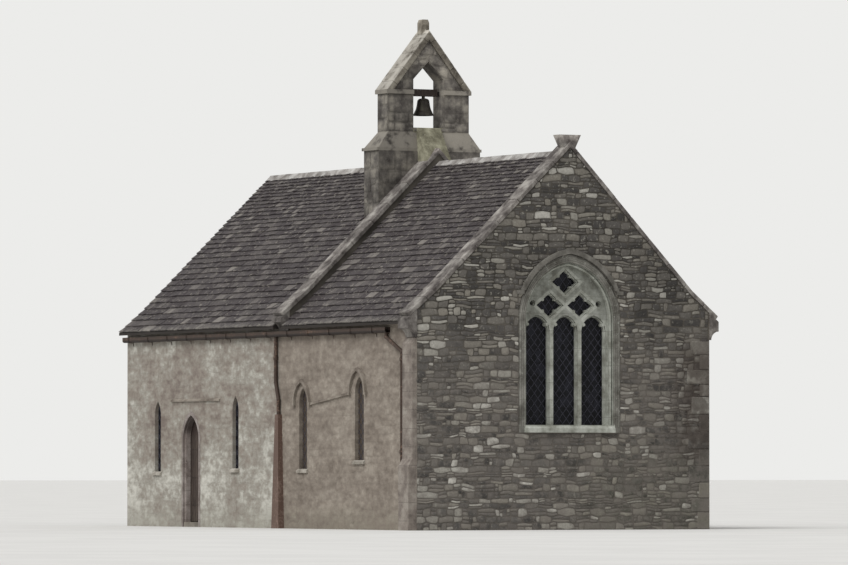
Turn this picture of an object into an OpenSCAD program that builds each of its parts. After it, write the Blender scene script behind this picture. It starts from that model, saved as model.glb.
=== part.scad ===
// Small medieval chapel: nave and chancel in one line, a bellcote on the wall
// between them, a three-light traceried east window and a pointed south doorway.
// Millimetres. +X is east, +Y is north, +Z is up, the ground is at 0 and the
// origin lies under the middle of the building.

/* [Building] */
// Outside length, west to east
building_length = 13000; // [12600:100:15000]
// Outside width, south to north
building_width = 6600; // [6400:50:7200]
// Thickness of the outside walls
wall_thick = 750; // [650:10:850]
// Thickness of the wall between nave and chancel
cross_thick = 1050; // [950:10:1150]
// Top of the stone floor
floor_height = 100; // [60:10:150]

/* [Roof] */
// Height of the slate edge at the eaves
eave_height = 4070; // [3950:10:4300]
// Height of both ridges
ridge_height = 7450; // [7200:10:7800]
// How far the ridge lies north of the middle
ridge_north = 120; // [0:10:150]
// How far the slates reach past the side walls
eave_out = 170; // [120:10:200]
// Upright thickness of slates, battens and rafters
deck_drop = 180; // [120:10:220]
// Height of the slope where the flatter eaves begin
kick_height = 4545; // [4500:5:4600]
// How far the roof oversails the west gable
verge_out = 60; // [40:5:80]

/* [Copings] */
// Upright thickness of a coping stone
coping_thick = 110; // [80:5:140]
// Height of the east coping above the slates
east_coping_rise = 190; // [160:5:240]
// Height of the middle coping above the slates
middle_coping_rise = 300; // [240:5:320]
// Width of a coping, west to east
coping_width = 430; // [380:10:460]

/* [East window] */
// Clear width of the opening
window_width = 1880; // [1800:10:1960]
// How far the window lies north of the middle
window_north = 110; // [0:10:200]
// Bottom of the glass
window_foot = 2060; // [1900:10:2300]
// Level where the window arch begins
window_spring = 4120; // [4080:10:4160]
// Top of the window arch
window_apex = 5200; // [5150:10:5260]
// Width of a mullion
mullion_width = 125; // [115:5:155]
// Depth of the tracery, west to east
tracery_depth = 120; // [90:5:150]
// Width of the dressed stone round the opening
dressing_width = 200; // [160:5:220]

/* [South doorway] */
// Clear width of the doorway
door_width = 660; // [620:10:860]
// Level where the door arch begins
door_spring = 1820; // [1700:10:1850]
// Top of the door arch
door_apex = 2280; // [2260:5:2300]
// Middle of the doorway, west of the building's middle
door_west = 3440; // [3300:10:3600]
// Thickness of the door leaf
leaf_thick = 50; // [40:2:60]

/* [Lancets] */
// Clear width of a lancet
lancet_width = 280; // [260:10:420]
// Clear width of the hooded chancel lancet nearer the nave
chancel_lancet_width = 340; // [280:10:400]
// How far the glass is set back from the wall face
glass_inset = 80; // [70:5:140]

/* [Bellcote] */
// Width of the base, south to north
base_width = 2350; // [2200:10:2500]
// Width of the upper part, south to north
belfry_width = 1880; // [1760:10:1940]
// Thickness of the upper part, west to east
belfry_thick = 450; // [420:5:470]
// Clear width of the bell opening
bell_opening = 700; // [640:10:760]
// Level where the bell arch begins
bell_spring = 8950; // [8950:10:9050]
// Top of the bellcote's gable
belfry_apex = 10190; // [10150:10:10400]
// Mouth radius of the bell
bell_radius = 215; // [190:5:230]

/* [Hidden] */
$fn = 48;
half_length = building_length / 2;
half_width = building_width / 2;
inner_half = half_width - wall_thick;
kick_in = 400;
coping_nose = 30;
coping_end = half_width + eave_out + coping_nose;
eave_pitch = (kick_height - eave_height) / (eave_out + kick_in);
coping_foot = eave_height - coping_nose * eave_pitch;
// the roof's upper surface, from one coping foot to the other, as (y, z)
roof_knots = [
    [-coping_end, coping_foot],
    [-half_width + kick_in, kick_height],
    [ridge_north, ridge_height],
    [half_width - kick_in, kick_height],
    [coping_end, coping_foot]
];
// thin bed between stones that meet on a slope or a curve
bed = 0.2;
coping_joint = 6;
end_out = 60;
cross_west = 0;
cross_east = cross_west + cross_thick;
coping_west = 650;
wall_joint = 610;
east_parapet = half_length - 400;
east_kneeler_foot = 3760;
middle_kneeler_foot = 3990;
arch_width = 2400;
arch_spring = 2400;
arch_apex = 4300;
jamb_width = 100;
jamb_depth = 150;
doorway_top = 2450;
frame_depth = 300;
hood_band = 85;
hood_foot = 4700;
tracery_step = 22;
// south lancets: x of the middle, sill, springing, apex, width
lancets = [
    [-5020, 1150, 2330, 2620, lancet_width],
    [-1380, 1210, 2390, 2690, lancet_width],
    [1660, 1200, 2510, 2820, chancel_lancet_width],
    [4100, 1370, 2700, 3010, chancel_lancet_width + 40]
];
// hood moulds over the two chancel lancets: x, foot, apex
hoods = [[1640, 2530, 3000], [4060, 2720, 3200]];
base_west = 0;
base_east = coping_west;
base_foot = 6000;
base_top = 7760;
belfry_foot = 8080;
belfry_west = 150;
belfry_east = belfry_west + belfry_thick;
belfry_mid = (belfry_west + belfry_east) / 2;
sill_top = 8180;
gable_stone = 210;
impost_tall = 85;
impost_out = 40;
bell_axis = 8900;
bell_mouth = 8440;
leaf_width = door_width + 80;
leaf_face = -half_width + jamb_depth + 8;
hinge_x = -door_west - leaf_width / 2 - 12;
hinge_y = leaf_face + leaf_thick + 12;
strap_levels = [450, 1600];
casing_top = 2300;
impost_foot = bell_spring - impost_tall;
// the bell opening stays upright above the imposts, then closes in with straight sides
opening_spring = bell_spring + 220;
opening_apex = bell_spring + bell_opening * 0.84;
// boxed foot of the middle downpipes: span and depth at the ground and at the top
casing_foot_span = [500, 820];
casing_top_span = [590, 730];
casing_foot_depth = 130;
casing_top_depth = 95;
stone = [0.66, 0.63, 0.55];
dressed = [0.70, 0.71, 0.64];
slate = [0.34, 0.31, 0.28];
iron = [0.23, 0.19, 0.17];

// height of the roof's upper surface over any y
function roof_z(y) = lookup(y, roof_knots);

// the roof surface from y0 to y1, lifted, with its bends kept
function roof_line(y0, y1, lift) = concat(
    [[y0, roof_z(y0) + lift]],
    [for (p = roof_knots) if (p[0] > y0 && p[0] < y1) [p[0], p[1] + lift]],
    [[y1, roof_z(y1) + lift]]
);

function backwards(points) = [for (i = [len(points) - 1:-1:0]) points[i]];

// a band between two lifts of the roof surface
function roof_band(y0, y1, low, high) =
    concat(roof_line(y0, y1, high), backwards(roof_line(y0, y1, low)));

// extrude a profile drawn in (y, z) from x0 to x1
module along_x(x0, x1) {
    translate([x0, 0, 0])
        rotate([90, 0, 90])
            linear_extrude(x1 - x0)
                children();
}

// extrude a profile drawn in (x, z) from y0 to y1
module along_y(y0, y1) {
    translate([0, y1, 0])
        rotate([90, 0, 0])
            linear_extrude(y1 - y0)
                children();
}

module block(x0, x1, y0, y1, z0, z1) {
    translate([x0, y0, z0])
        cube([x1 - x0, y1 - y0, z1 - z0]);
}

// a two-centred pointed opening about the vertical axis
module pointed(width, foot, spring, apex) {
    half = width / 2;
    rise = apex - spring;
    radius = (half * half + rise * rise) / width;
    translate([-half, foot])
        square([width, spring - foot]);
    intersection() {
        translate([radius - half, spring])
            circle(radius, $fn = 120);
        translate([half - radius, spring])
            circle(radius, $fn = 120);
        translate([-half, spring - 1])
            square([width, rise + 2]);
    }
}

// half the width of such an opening at a height above its springing
function arch_half(width, spring, apex, z) =
    let (half = width / 2, rise = apex - spring, radius = (half * half + rise * rise) / width)
    sqrt(radius * radius - (z - spring) * (z - spring)) - radius + half;

// a pointed ring: the band between two arches with one springing line
module pointed_ring(inner, outer, foot, spring, apex) {
    grow = (outer - inner) / 2;
    difference() {
        pointed(outer, foot, spring, apex + grow * 1.15);
        pointed(inner, foot - 1, spring, apex);
    }
}

// the section of a side wall, its top cut to the slope of the roof
module side_wall_section(y0, y1) {
    polygon(concat([[y1, 0], [y0, 0]], roof_line(y0, y1, -deck_drop - bed)));
}

// one lancet cut through a wall: a pointed light, splayed wide inside
module lancet_cut(lancet) {
    face = -half_width;
    translate([lancet[0], 0, 0]) {
        along_y(face - 10, face + glass_inset + 60)
            pointed(lancet[4], lancet[1], lancet[2], lancet[3]);
        translate([0, 0, lancet[1]])
            linear_extrude(lancet[3] - lancet[1])
                polygon([
                    [-lancet[4] / 2, face + glass_inset + 50],
                    [lancet[4] / 2, face + glass_inset + 50],
                    [430, face + wall_thick + 10],
                    [-430, face + wall_thick + 10]
                ]);
    }
}

module stone_floor() {
    color(stone) {
        block(-half_length + wall_thick, cross_west, -inner_half, inner_half, 0, floor_height);
        block(cross_west, cross_east, -arch_width / 2, arch_width / 2, 0, floor_height);
        block(cross_east, half_length - wall_thick, -inner_half, inner_half, 0, floor_height);
        block(-door_west - door_width / 2 - jamb_width, -door_west + door_width / 2 + jamb_width,
            -half_width + jamb_depth, -inner_half, 0, floor_height);
        block(-door_west - door_width / 2, -door_west + door_width / 2,
            -half_width, -half_width + jamb_depth, 0, floor_height);
    }
}

module south_wall(x0, x1) {
    difference() {
        along_x(x0, x1)
            side_wall_section(-half_width, -inner_half);
        for (lancet = lancets)
            if (lancet[0] > x0 && lancet[0] < x1)
                lancet_cut(lancet);
    }
}

module north_wall(x0, x1) {
    difference() {
        along_x(x0, x1)
            side_wall_section(inner_half, half_width);
        for (lancet = lancets)
            if (lancet[0] > x0 && lancet[0] < x1)
                mirror([0, 1, 0])
                    lancet_cut(lancet);
    }
}

module nave_south_wall_west() {
    color(stone)
        south_wall(-half_length + wall_thick, -door_west - door_width / 2 - jamb_width);
}

module nave_south_wall_east() {
    color(stone)
        south_wall(-door_west + door_width / 2 + jamb_width, wall_joint);
}

// outline of the door's dressed stones: square shoulders, then the arch
module door_dressing_outline() {
    outer = door_width + 2 * jamb_width;
    translate([-outer / 2, 0])
        square([outer, door_spring + 150]);
    pointed(outer, 0, door_spring, door_apex + jamb_width * 1.15);
}

// full-thickness wall over a flat rear head, the outer skin cut to the arch stones
module nave_wall_over_door() {
    half = door_width / 2 + jamb_width;
    color(stone)
        difference() {
            along_x(-door_west - half, -door_west + half)
                side_wall_section(-half_width, -inner_half);
            block(-door_west - half - 1, -door_west + half + 1,
                -half_width + jamb_depth, 0, -1, doorway_top);
            translate([-door_west, 0, 0])
                along_y(-half_width - 1, -half_width + jamb_depth + 1)
                    door_dressing_outline();
        }
}

module nave_north_wall() {
    color(stone)
        north_wall(-half_length + wall_thick, wall_joint);
}

module chancel_south_wall() {
    color(stone)
        south_wall(wall_joint, half_length - wall_thick);
}

module chancel_north_wall() {
    color(stone)
        north_wall(wall_joint, half_length - wall_thick);
}

module west_gable_wall() {
    color(stone)
        along_x(-half_length, -half_length + wall_thick)
            side_wall_section(-half_width, half_width);
}

module east_gable_wall() {
    outer = window_width + 2 * dressing_width;
    color(stone)
        difference() {
            union() {
                along_x(half_length - wall_thick, half_length)
                    side_wall_section(-half_width, half_width);
                along_x(east_parapet, half_length)
                    polygon(roof_band(-half_width, half_width,
                        -deck_drop - 1, east_coping_rise - coping_thick - bed));
            }
            translate([0, window_north, 0])
                along_x(half_length - wall_thick - 1, half_length + 1)
                    pointed(outer, window_foot - 150, window_spring,
                        window_apex + dressing_width * 1.15);
        }
}

module chancel_arch_south_pier() {
    color(stone)
        block(cross_west, cross_east, -inner_half, -arch_width / 2, 0, arch_spring);
}

module chancel_arch_north_pier() {
    color(stone)
        block(cross_west, cross_east, arch_width / 2, inner_half, 0, arch_spring);
}

module cross_wall_over_arch() {
    springing = [[inner_half, arch_spring], [-inner_half, arch_spring]];
    parapet = middle_coping_rise - coping_thick - bed;
    color(stone)
        difference() {
            union() {
                along_x(cross_west, cross_east)
                    polygon(concat(springing, roof_line(-inner_half, inner_half, -deck_drop - bed)));
                along_x(coping_west, cross_east) {
                    polygon(concat(springing, roof_line(-inner_half, inner_half, parapet)));
                    polygon(roof_band(-half_width, half_width, -deck_drop, parapet));
                }
            }
            along_x(cross_west - 1, cross_east + 1)
                pointed(arch_width, arch_spring - 1, arch_spring, arch_apex);
            bellcote_base_block();
        }
}

module bellcote_base_block() {
    block(base_west - 1, base_east, ridge_north - base_width / 2,
        ridge_north + base_width / 2, base_foot, ridge_height + 1);
}

// one slope: slates on top, a thin edge at the eaves, the deck underneath
module roof_slope(side, x0, x1) {
    eave_y = half_width + eave_out;
    top = side < 0 ? roof_line(-eave_y, ridge_north, 0) : roof_line(ridge_north, eave_y, 0);
    under = side < 0
        ? backwards(roof_line(-half_width, ridge_north, -deck_drop))
        : backwards(roof_line(ridge_north, half_width, -deck_drop));
    edge = [[side * eave_y, eave_height - 50]];
    along_x(x0, x1)
        polygon(side < 0 ? concat(top, under, edge) : concat(top, edge, under));
}

module nave_roof(side) {
    difference() {
        roof_slope(side, -half_length - verge_out, coping_west);
        bellcote_base_block();
    }
}

module nave_roof_south() {
    color(slate)
        nave_roof(-1);
}

module nave_roof_north() {
    color(slate)
        nave_roof(1);
}

module chancel_roof_south() {
    color(slate)
        roof_slope(-1, cross_east, east_parapet);
}

module chancel_roof_north() {
    color(slate)
        roof_slope(1, cross_east, east_parapet);
}

module ridge_stones() {
    color(dressed) {
        along_x(-half_length - verge_out, base_west)
            polygon(roof_band(ridge_north - 130, ridge_north + 130, bed, 45));
        along_x(coping_west + coping_width, half_length + end_out / 2 - coping_width)
            polygon(roof_band(ridge_north - 130, ridge_north + 130, bed, 45));
    }
}

// a coping follows the roof's own bends from eave to eave, jointed at each bend
module gable_coping(x0, x1, rise) {
    gap = coping_joint / 2;
    for (i = [0:3]) {
        y0 = roof_knots[i][0] + (i == 0 ? 0 : gap);
        y1 = roof_knots[i + 1][0] - (i == 3 ? 0 : gap);
        along_x(x0, x1)
            polygon(roof_band(y0, y1, rise - coping_thick, rise));
    }
}

module east_gable_coping() {
    color(dressed)
        gable_coping(half_length + end_out / 2 - coping_width,
            half_length + end_out / 2, east_coping_rise);
}

module middle_gable_coping() {
    color(dressed)
        gable_coping(coping_west, coping_west + coping_width, middle_coping_rise);
}

// a corbelled foot stone with a hollow under its nose
module kneeler(side, low, rise) {
    lift = rise - coping_thick - bed;
    difference() {
        polygon([
            [side * half_width, low],
            [side * coping_end, low],
            [side * coping_end, coping_foot + lift],
            [side * half_width, roof_z(half_width) + lift]
        ]);
        translate([side * coping_end, low])
            circle(coping_end - half_width - coping_nose);
    }
}

module gable_kneelers() {
    color(dressed)
        for (side = [-1, 1]) {
            along_x(half_length + end_out / 2 - coping_width, half_length + end_out / 2)
                kneeler(side, east_kneeler_foot, east_coping_rise);
            along_x(coping_west, cross_east)
                kneeler(side, middle_kneeler_foot, middle_coping_rise);
        }
}

// what is left of the gable cross: a socket flaring from the saddle
module gable_cross_stump() {
    color(dressed)
        along_x(half_length - 240, half_length + 10)
            polygon(concat(
                [[ridge_north + 245, ridge_height + 325], [ridge_north - 245, ridge_height + 325]],
                roof_line(ridge_north - 120, ridge_north + 120, east_coping_rise + bed)
            ));
}

// moulded jambs and arch in two steps, over a weathered sill
module east_window_surround() {
    outer = window_width + 2 * dressing_width;
    back = half_length - frame_depth;
    front = half_length + 10;
    color(dressed)
        translate([0, window_north, 0]) {
            difference() {
                along_x(back, front)
                    pointed(outer, window_foot - 150, window_spring,
                        window_apex + dressing_width * 1.15);
                along_x(back - 1, front - 90)
                    pointed(window_width, window_foot, window_spring, window_apex);
                along_x(front - 91, front + 1)
                    pointed(window_width + 110, window_foot, window_spring,
                        window_apex + 62);
            }
            along_y(-window_width / 2 - 70, window_width / 2 + 70)
                polygon([
                    [half_length, window_foot - 149],
                    [half_length + end_out, window_foot - 149],
                    [half_length + end_out, window_foot - 65],
                    [half_length, window_foot - 10]
                ]);
        }
}

// drip mould round the upper arch only, on two short stops
module east_window_hood() {
    inner = window_width + 2 * (dressing_width + bed);
    apex = window_apex + dressing_width * 1.15 + bed;
    stop_foot = hood_foot - 75;
    stop_inner = arch_half(inner, window_spring, apex, stop_foot);
    stop_outer = stop_inner + 150;
    color(dressed)
        translate([0, window_north, 0]) {
            along_x(half_length, half_length + end_out)
                intersection() {
                    pointed_ring(inner, inner + 2 * hood_band, window_foot, window_spring, apex);
                    translate([-inner, hood_foot])
                        square([2 * inner, 2000]);
                }
            for (side = [-1, 1])
                block(half_length, half_length + end_out,
                    side < 0 ? -stop_outer : stop_inner,
                    side < 0 ? -stop_inner : stop_outer, stop_foot, hood_foot);
        }
}

// the glazed part of one light: a pointed head with a cusp on each haunch
module light_cut(width, grow) {
    difference() {
        pointed(width + 2 * grow, window_foot - grow, window_spring - 220,
            window_spring + 72 + grow * 1.4);
        for (side = [-1, 1])
            translate([side * (width / 2 - 36), window_spring - 80])
                circle(42 - grow / 2, $fn = 32);
    }
}

// a lozenge with a cusp in the middle of each side
module cusped_lozenge(half_width, half_height, grow) {
    wide = half_width + 1.4 * grow;
    tall = half_height + 1.4 * grow;
    difference() {
        polygon([[wide, 0], [0, tall], [-wide, 0], [0, -tall]]);
        for (x = [-0.5, 0.5], y = [-0.5, 0.5])
            translate([x * wide, y * tall])
                circle(30 - grow / 2, $fn = 32);
    }
}

module tracery_holes(grow) {
    light = (window_width - 100 - 2 * mullion_width) / 3;
    pitch = light + mullion_width;
    for (place = [-1, 0, 1])
        translate([place * pitch, 0])
            light_cut(light, grow);
    for (side = [-1, 1]) {
        translate([side * 350, window_spring + 295])
            cusped_lozenge(278, 224, grow);
        translate([side * 740, window_spring + 330])
            circle(38 + grow, $fn = 24);
    }
    translate([0, window_spring + 758])
        cusped_lozenge(272, 224, grow);
}

module east_window_tracery() {
    back = half_length - frame_depth + 20;
    color(dressed)
        translate([0, window_north, 0])
            difference() {
                along_x(back, back + tracery_depth)
                    pointed(window_width, window_foot, window_spring, window_apex);
                along_x(back - 1, back + tracery_depth + 1)
                    tracery_holes(0);
                along_x(back + tracery_depth * 0.6, back + tracery_depth + 1)
                    tracery_holes(tracery_step);
            }
}

module east_window_glass() {
    back = half_length - frame_depth + 20;
    color([0.10, 0.12, 0.13])
        translate([0, window_north, 0])
            along_x(back - 12, back)
                pointed(window_width, window_foot, window_spring, window_apex);
}

module lancet_glass() {
    face = -half_width + glass_inset;
    color([0.10, 0.12, 0.13])
        for (lancet = lancets, side = [0, 1])
            mirror([0, side, 0])
                translate([lancet[0], 0, 0])
                    along_y(face, face + 10)
                        pointed(lancet[4], lancet[1], lancet[2], lancet[3]);
}

module lancet_sills() {
    color(dressed)
        for (lancet = lancets, side = [0, 1])
            mirror([0, side, 0])
                along_x(lancet[0] - lancet[4] / 2 - 50, lancet[0] + lancet[4] / 2 + 50)
                    polygon([
                        [-half_width, lancet[1] - 80],
                        [-half_width - 45, lancet[1] - 80],
                        [-half_width - 45, lancet[1] - 35],
                        [-half_width, lancet[1]]
                    ]);
}

// pointed drip moulds over the chancel lancets and the string that links them
module hood_moulds() {
    proud = 60;
    rise = hoods[1][1] - hoods[0][1];
    run = hoods[1][0] - hoods[0][0] - 720;
    color(dressed) {
        for (hood = hoods)
            translate([hood[0], 0, 0]) {
                along_y(-half_width - proud, -half_width)
                    pointed_ring(600, 720, hood[1], hood[1] + 1, hood[2] - 69);
                for (side = [-1, 1])
                    block(side * 345 - 45, side * 345 + 45, -half_width - proud,
                        -half_width, hood[1] - 60, hood[1]);
            }
        translate([hoods[0][0] + 390, 0, hoods[0][1] - 50])
            rotate([0, -atan(rise / run), 0])
                translate([0, -half_width - 35 - bed, 0])
                    cube([run - 75, 35, 45]);
    }
}

module nave_string_course() {
    color(dressed)
        along_x(-4350, -2070)
            polygon([
                [-half_width, 2600],
                [-half_width - 35, 2600],
                [-half_width - 35, 2630],
                [-half_width, 2655]
            ]);
}

// shallow buttress at the south-east corner, with two weatherings
module corner_pilaster() {
    color(dressed)
        along_x(half_length - 420, half_length)
            polygon([
                [-half_width, 0],
                [-half_width - 180, 0],
                [-half_width - 180, 1250],
                [-half_width - 90, 1400],
                [-half_width - 90, east_kneeler_foot - 120],
                [-half_width, east_kneeler_foot]
            ]);
}

// cast-iron trough with a rounded front, set on the wall head
module gutter_section() {
    difference() {
        union() {
            translate([-120, 45])
                square([120, 65]);
            translate([-75, 0])
                square([75, 46]);
            translate([-75, 45])
                circle(45);
        }
        translate([-108, 46])
            square([96, 70]);
        translate([-75, 12])
            square([63, 36]);
        translate([-75, 45])
            circle(33);
    }
}

module gutters() {
    color(iron) {
        along_x(-half_length, half_length - 1100)
            translate([-half_width, 3865])
                gutter_section();
        mirror([0, 1, 0])
            along_x(-half_length, half_length - 1100)
                translate([-half_width, 3865])
                    gutter_section();
    }
}

// a pipe through a list of points, with slightly swollen elbows
module pipe_run(points, radius) {
    for (i = [0:len(points) - 2]) {
        step = points[i + 1] - points[i];
        length = norm(step);
        translate(points[i])
            rotate([0, acos(step[2] / length), atan2(step[1], step[0])])
                cylinder(h = length, r = radius, $fn = 20);
    }
    for (i = [1:len(points) - 2])
        translate(points[i])
            sphere(radius + 4, $fn = 24);
}

module pipe_collar(x, y, z) {
    translate([x, y, z])
        cylinder(h = 70, r = 50, $fn = 20);
}

module downpipes() {
    off = -half_width - 50;
    east_x = half_length - 510;
    color(iron)
        for (side = [0, 1])
            mirror([0, side, 0]) {
                pipe_run([
                    [half_length - 1170, off, 3865],
                    [half_length - 1170, off, 3780],
                    [east_x, off, 3480],
                    [east_x, off, 60]
                ], 38);
                pipe_collar(east_x, off, 3300);
                pipe_collar(east_x, off, 1500);
                pipe_run([
                    [540, off, 3865],
                    [540, off, 2950],
                    [660, off, casing_top + 300],
                    [660, off, casing_top]
                ], 38);
                pipe_collar(540, off, 3400);
            }
}

// boxed lower length of the middle downpipes
module junction_pipe_casing() {
    color([0.40, 0.31, 0.26])
        for (side = [0, 1])
            mirror([0, side, 0])
                taper([-half_width - casing_foot_depth, -half_width],
                    [-half_width - casing_top_depth, -half_width],
                    casing_foot_span, casing_top_span, 0, casing_top);
}

// dressed jambs and arch, stepped back once to the door stop
module doorway_surround() {
    color(dressed)
        translate([-door_west, 0, 0])
            difference() {
                along_y(-half_width - 10, -half_width + jamb_depth)
                    door_dressing_outline();
                along_y(-half_width, -half_width + jamb_depth + 1)
                    pointed(door_width, -1, door_spring, door_apex);
                along_y(-half_width - 11, -half_width + 45)
                    pointed(door_width + 60, -1, door_spring, door_apex + 35);
            }
}

module door_leaf() {
    color([0.25, 0.18, 0.14])
        translate([-door_west, 0, 0])
            along_y(leaf_face, leaf_face + leaf_thick)
                pointed(leaf_width, floor_height + 12, door_spring, door_apex + 45);
}

// two straps with eyes on the inside, a ring and plate outside
module door_ironwork() {
    inside = leaf_face + leaf_thick;
    color(iron) {
        for (level = strap_levels)
            difference() {
                union() {
                    block(hinge_x, hinge_x + leaf_width - 120, inside, inside + 6, level - 22, level + 22);
                    translate([hinge_x, hinge_y, level - 22])
                        cylinder(h = 44, r = 23, $fn = 24);
                }
                translate([hinge_x, hinge_y, level - 23])
                    cylinder(h = 46, r = 15, $fn = 24);
                block(hinge_x - 30, hinge_x + 60, inside - 40, inside, level - 30, level + 30);
            }
        translate([-door_west + door_width / 2 - 130, leaf_face, 1150]) {
            rotate([90, 0, 0])
                cylinder(h = 6, r = 35, $fn = 24);
            rotate([90, 0, 0])
                cylinder(h = 26, r = 9, $fn = 16);
            translate([0, -18, -50])
                rotate([90, 0, 0])
                    rotate_extrude($fn = 24)
                        translate([50, 0])
                            circle(7, $fn = 16);
        }
    }
}

module door_pintles() {
    jamb = -door_west - door_width / 2 - jamb_width;
    color(iron)
        for (level = strap_levels) {
            translate([hinge_x, hinge_y, level - 60])
                cylinder(h = 100, r = 9, $fn = 16);
            block(jamb, hinge_x + 9, hinge_y - 9, hinge_y + 9, level - 60, level - 30);
        }
}

module taper(y_low, y_high, x_low, x_high, z0, z1) {
    intersection() {
        along_x(min(x_low[0], x_high[0]) - 1, max(x_low[1], x_high[1]) + 1)
            polygon([[y_low[0], z0], [y_low[1], z0], [y_high[1], z1], [y_high[0], z1]]);
        along_y(min(y_low[0], y_high[0]) - 1, max(y_low[1], y_high[1]) + 1)
            polygon([[x_low[0], z0], [x_low[1], z0], [x_high[1], z1], [x_high[0], z1]]);
    }
}

module bellcote_base() {
    south = ridge_north - base_width / 2;
    north = ridge_north + base_width / 2;
    color(stone) {
        block(base_west, base_east, south, north, base_foot, base_top - 60);
        block(base_west - 35, base_east, south - 35, north + 35, base_top - 60, base_top);
        taper([south, north], [ridge_north - belfry_width / 2, ridge_north + belfry_width / 2],
            [base_west, base_east], [belfry_west, belfry_east], base_top, belfry_foot);
    }
}

// steep weathered stone from the bell opening down on to the middle coping
module bellcote_sill() {
    half = bell_opening / 2;
    color(stone) {
        block(belfry_west, belfry_east, ridge_north - half, ridge_north + half,
            belfry_foot, sill_top);
        difference() {
            along_y(ridge_north - 280, ridge_north + 280)
                polygon([
                    [belfry_east, sill_top],
                    [belfry_east, belfry_foot + bed],
                    [base_east, base_top + bed],
                    [base_east, ridge_height],
                    [coping_west + coping_width - 20, ridge_height],
                    [coping_west + coping_width - 20, ridge_height + 60]
                ]);
            along_x(base_east - 1, coping_west + coping_width)
                polygon(roof_band(ridge_north - 300, ridge_north + 300,
                    0, middle_coping_rise + bed));
        }
    }
}

module bellcote_piers() {
    color(stone)
        for (side = [-1, 1]) {
            inner = bell_opening / 2;
            outer = belfry_width / 2;
            y0 = ridge_north + (side < 0 ? -outer : inner);
            y1 = ridge_north + (side < 0 ? -inner : outer);
            block(belfry_west, belfry_east, y0, y1, belfry_foot, impost_foot);
            block(belfry_west - impost_out, belfry_east + impost_out,
                side < 0 ? y0 - impost_out : y0, side < 0 ? y1 : y1 + impost_out,
                impost_foot, bell_spring);
        }
}

module bellcote_head() {
    slope = (belfry_apex - bell_spring + 20) / (belfry_width / 2 + 60);
    top = belfry_apex - gable_stone - bed;
    half = (top - bell_spring) / slope;
    color(stone)
        translate([0, ridge_north, 0])
            difference() {
                along_x(belfry_west, belfry_east)
                    polygon([[-half, bell_spring], [half, bell_spring], [0, top]]);
                along_x(belfry_west - 1, belfry_east + 1)
                    polygon([
                        [-bell_opening / 2, bell_spring - 1], [bell_opening / 2, bell_spring - 1],
                        [bell_opening / 2, opening_spring], [0, opening_apex],
                        [-bell_opening / 2, opening_spring]
                    ]);
            }
}

module bellcote_coping() {
    foot = bell_spring;
    slope = (belfry_apex - bell_spring + 20) / (belfry_width / 2 + 60);
    outer = (belfry_apex - foot) / slope;
    inner = (belfry_apex - gable_stone - foot) / slope;
    color(dressed)
        translate([0, ridge_north, 0])
            along_x(belfry_west - 40, belfry_east + 40)
                polygon([
                    [-outer, foot], [-inner, foot], [0, belfry_apex - gable_stone],
                    [inner, foot], [outer, foot], [0, belfry_apex]
                ]);
}

module bellcote_finial() {
    slope = (belfry_apex - bell_spring + 20) / (belfry_width / 2 + 60);
    color(dressed)
        translate([0, ridge_north, bed])
            along_x(belfry_mid - 90, belfry_mid + 90)
                polygon([
                    [-90, belfry_apex - 90 * slope], [0, belfry_apex],
                    [90, belfry_apex - 90 * slope], [90, belfry_apex + 150],
                    [60, belfry_apex + 220], [-60, belfry_apex + 220],
                    [-90, belfry_apex + 150]
                ]);
}

// open-topped brackets on the pier faces, for the gudgeons
module bell_bearings() {
    half = bell_opening / 2;
    color(iron)
        for (side = [-1, 1])
            difference() {
                block(belfry_mid - 50, belfry_mid + 50,
                    ridge_north + (side < 0 ? -half : half - 35),
                    ridge_north + (side < 0 ? -half + 35 : half),
                    bell_axis - 60, bell_axis + 40);
                translate([belfry_mid, ridge_north + side * (half + 1), bell_axis])
                    rotate([side * 90, 0, 0])
                        cylinder(h = 40, r = 20, $fn = 24);
                block(belfry_mid - 20, belfry_mid + 20,
                    ridge_north + side * half - 40, ridge_north + side * half + 40,
                    bell_axis, bell_axis + 60);
            }
}

// the bell's wall as (radius, height): mouth lip, waist, shoulder, crown
module bell() {
    k = bell_radius / 215;
    color([0.30, 0.33, 0.27])
        translate([belfry_mid, ridge_north, bell_mouth])
            rotate_extrude($fn = 40)
                polygon([
                    [190 * k, 0], [215 * k, 0], [200 * k, 40], [165 * k, 110],
                    [142 * k, 190], [130 * k, 270], [112 * k, 325], [70 * k, 350],
                    [34 * k, 354], [34 * k, 396], [0, 396], [0, 326],
                    [62 * k, 322], [92 * k, 305], [108 * k, 262], [120 * k, 186],
                    [143 * k, 104], [175 * k, 36]
                ]);
}

module bell_headstock() {
    length = bell_opening - 100;
    color([0.33, 0.27, 0.21]) {
        translate([0, ridge_north, 0])
            block(belfry_mid - 55, belfry_mid + 55, -length / 2, length / 2,
                bell_axis - 64, bell_axis + 80);
        for (side = [-1, 1])
            translate([belfry_mid, ridge_north + side * length / 2, bell_axis])
                rotate([-side * 90, 0, 0])
                    cylinder(h = 42, r = 14, $fn = 20);
    }
}

module bell_clapper() {
    color(iron)
        translate([belfry_mid, ridge_north, 0]) {
            translate([0, 0, bell_mouth + 30])
                cylinder(h = 295, r = 9, $fn = 16);
            translate([0, 0, bell_mouth + 30])
                sphere(32, $fn = 24);
        }
}

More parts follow.
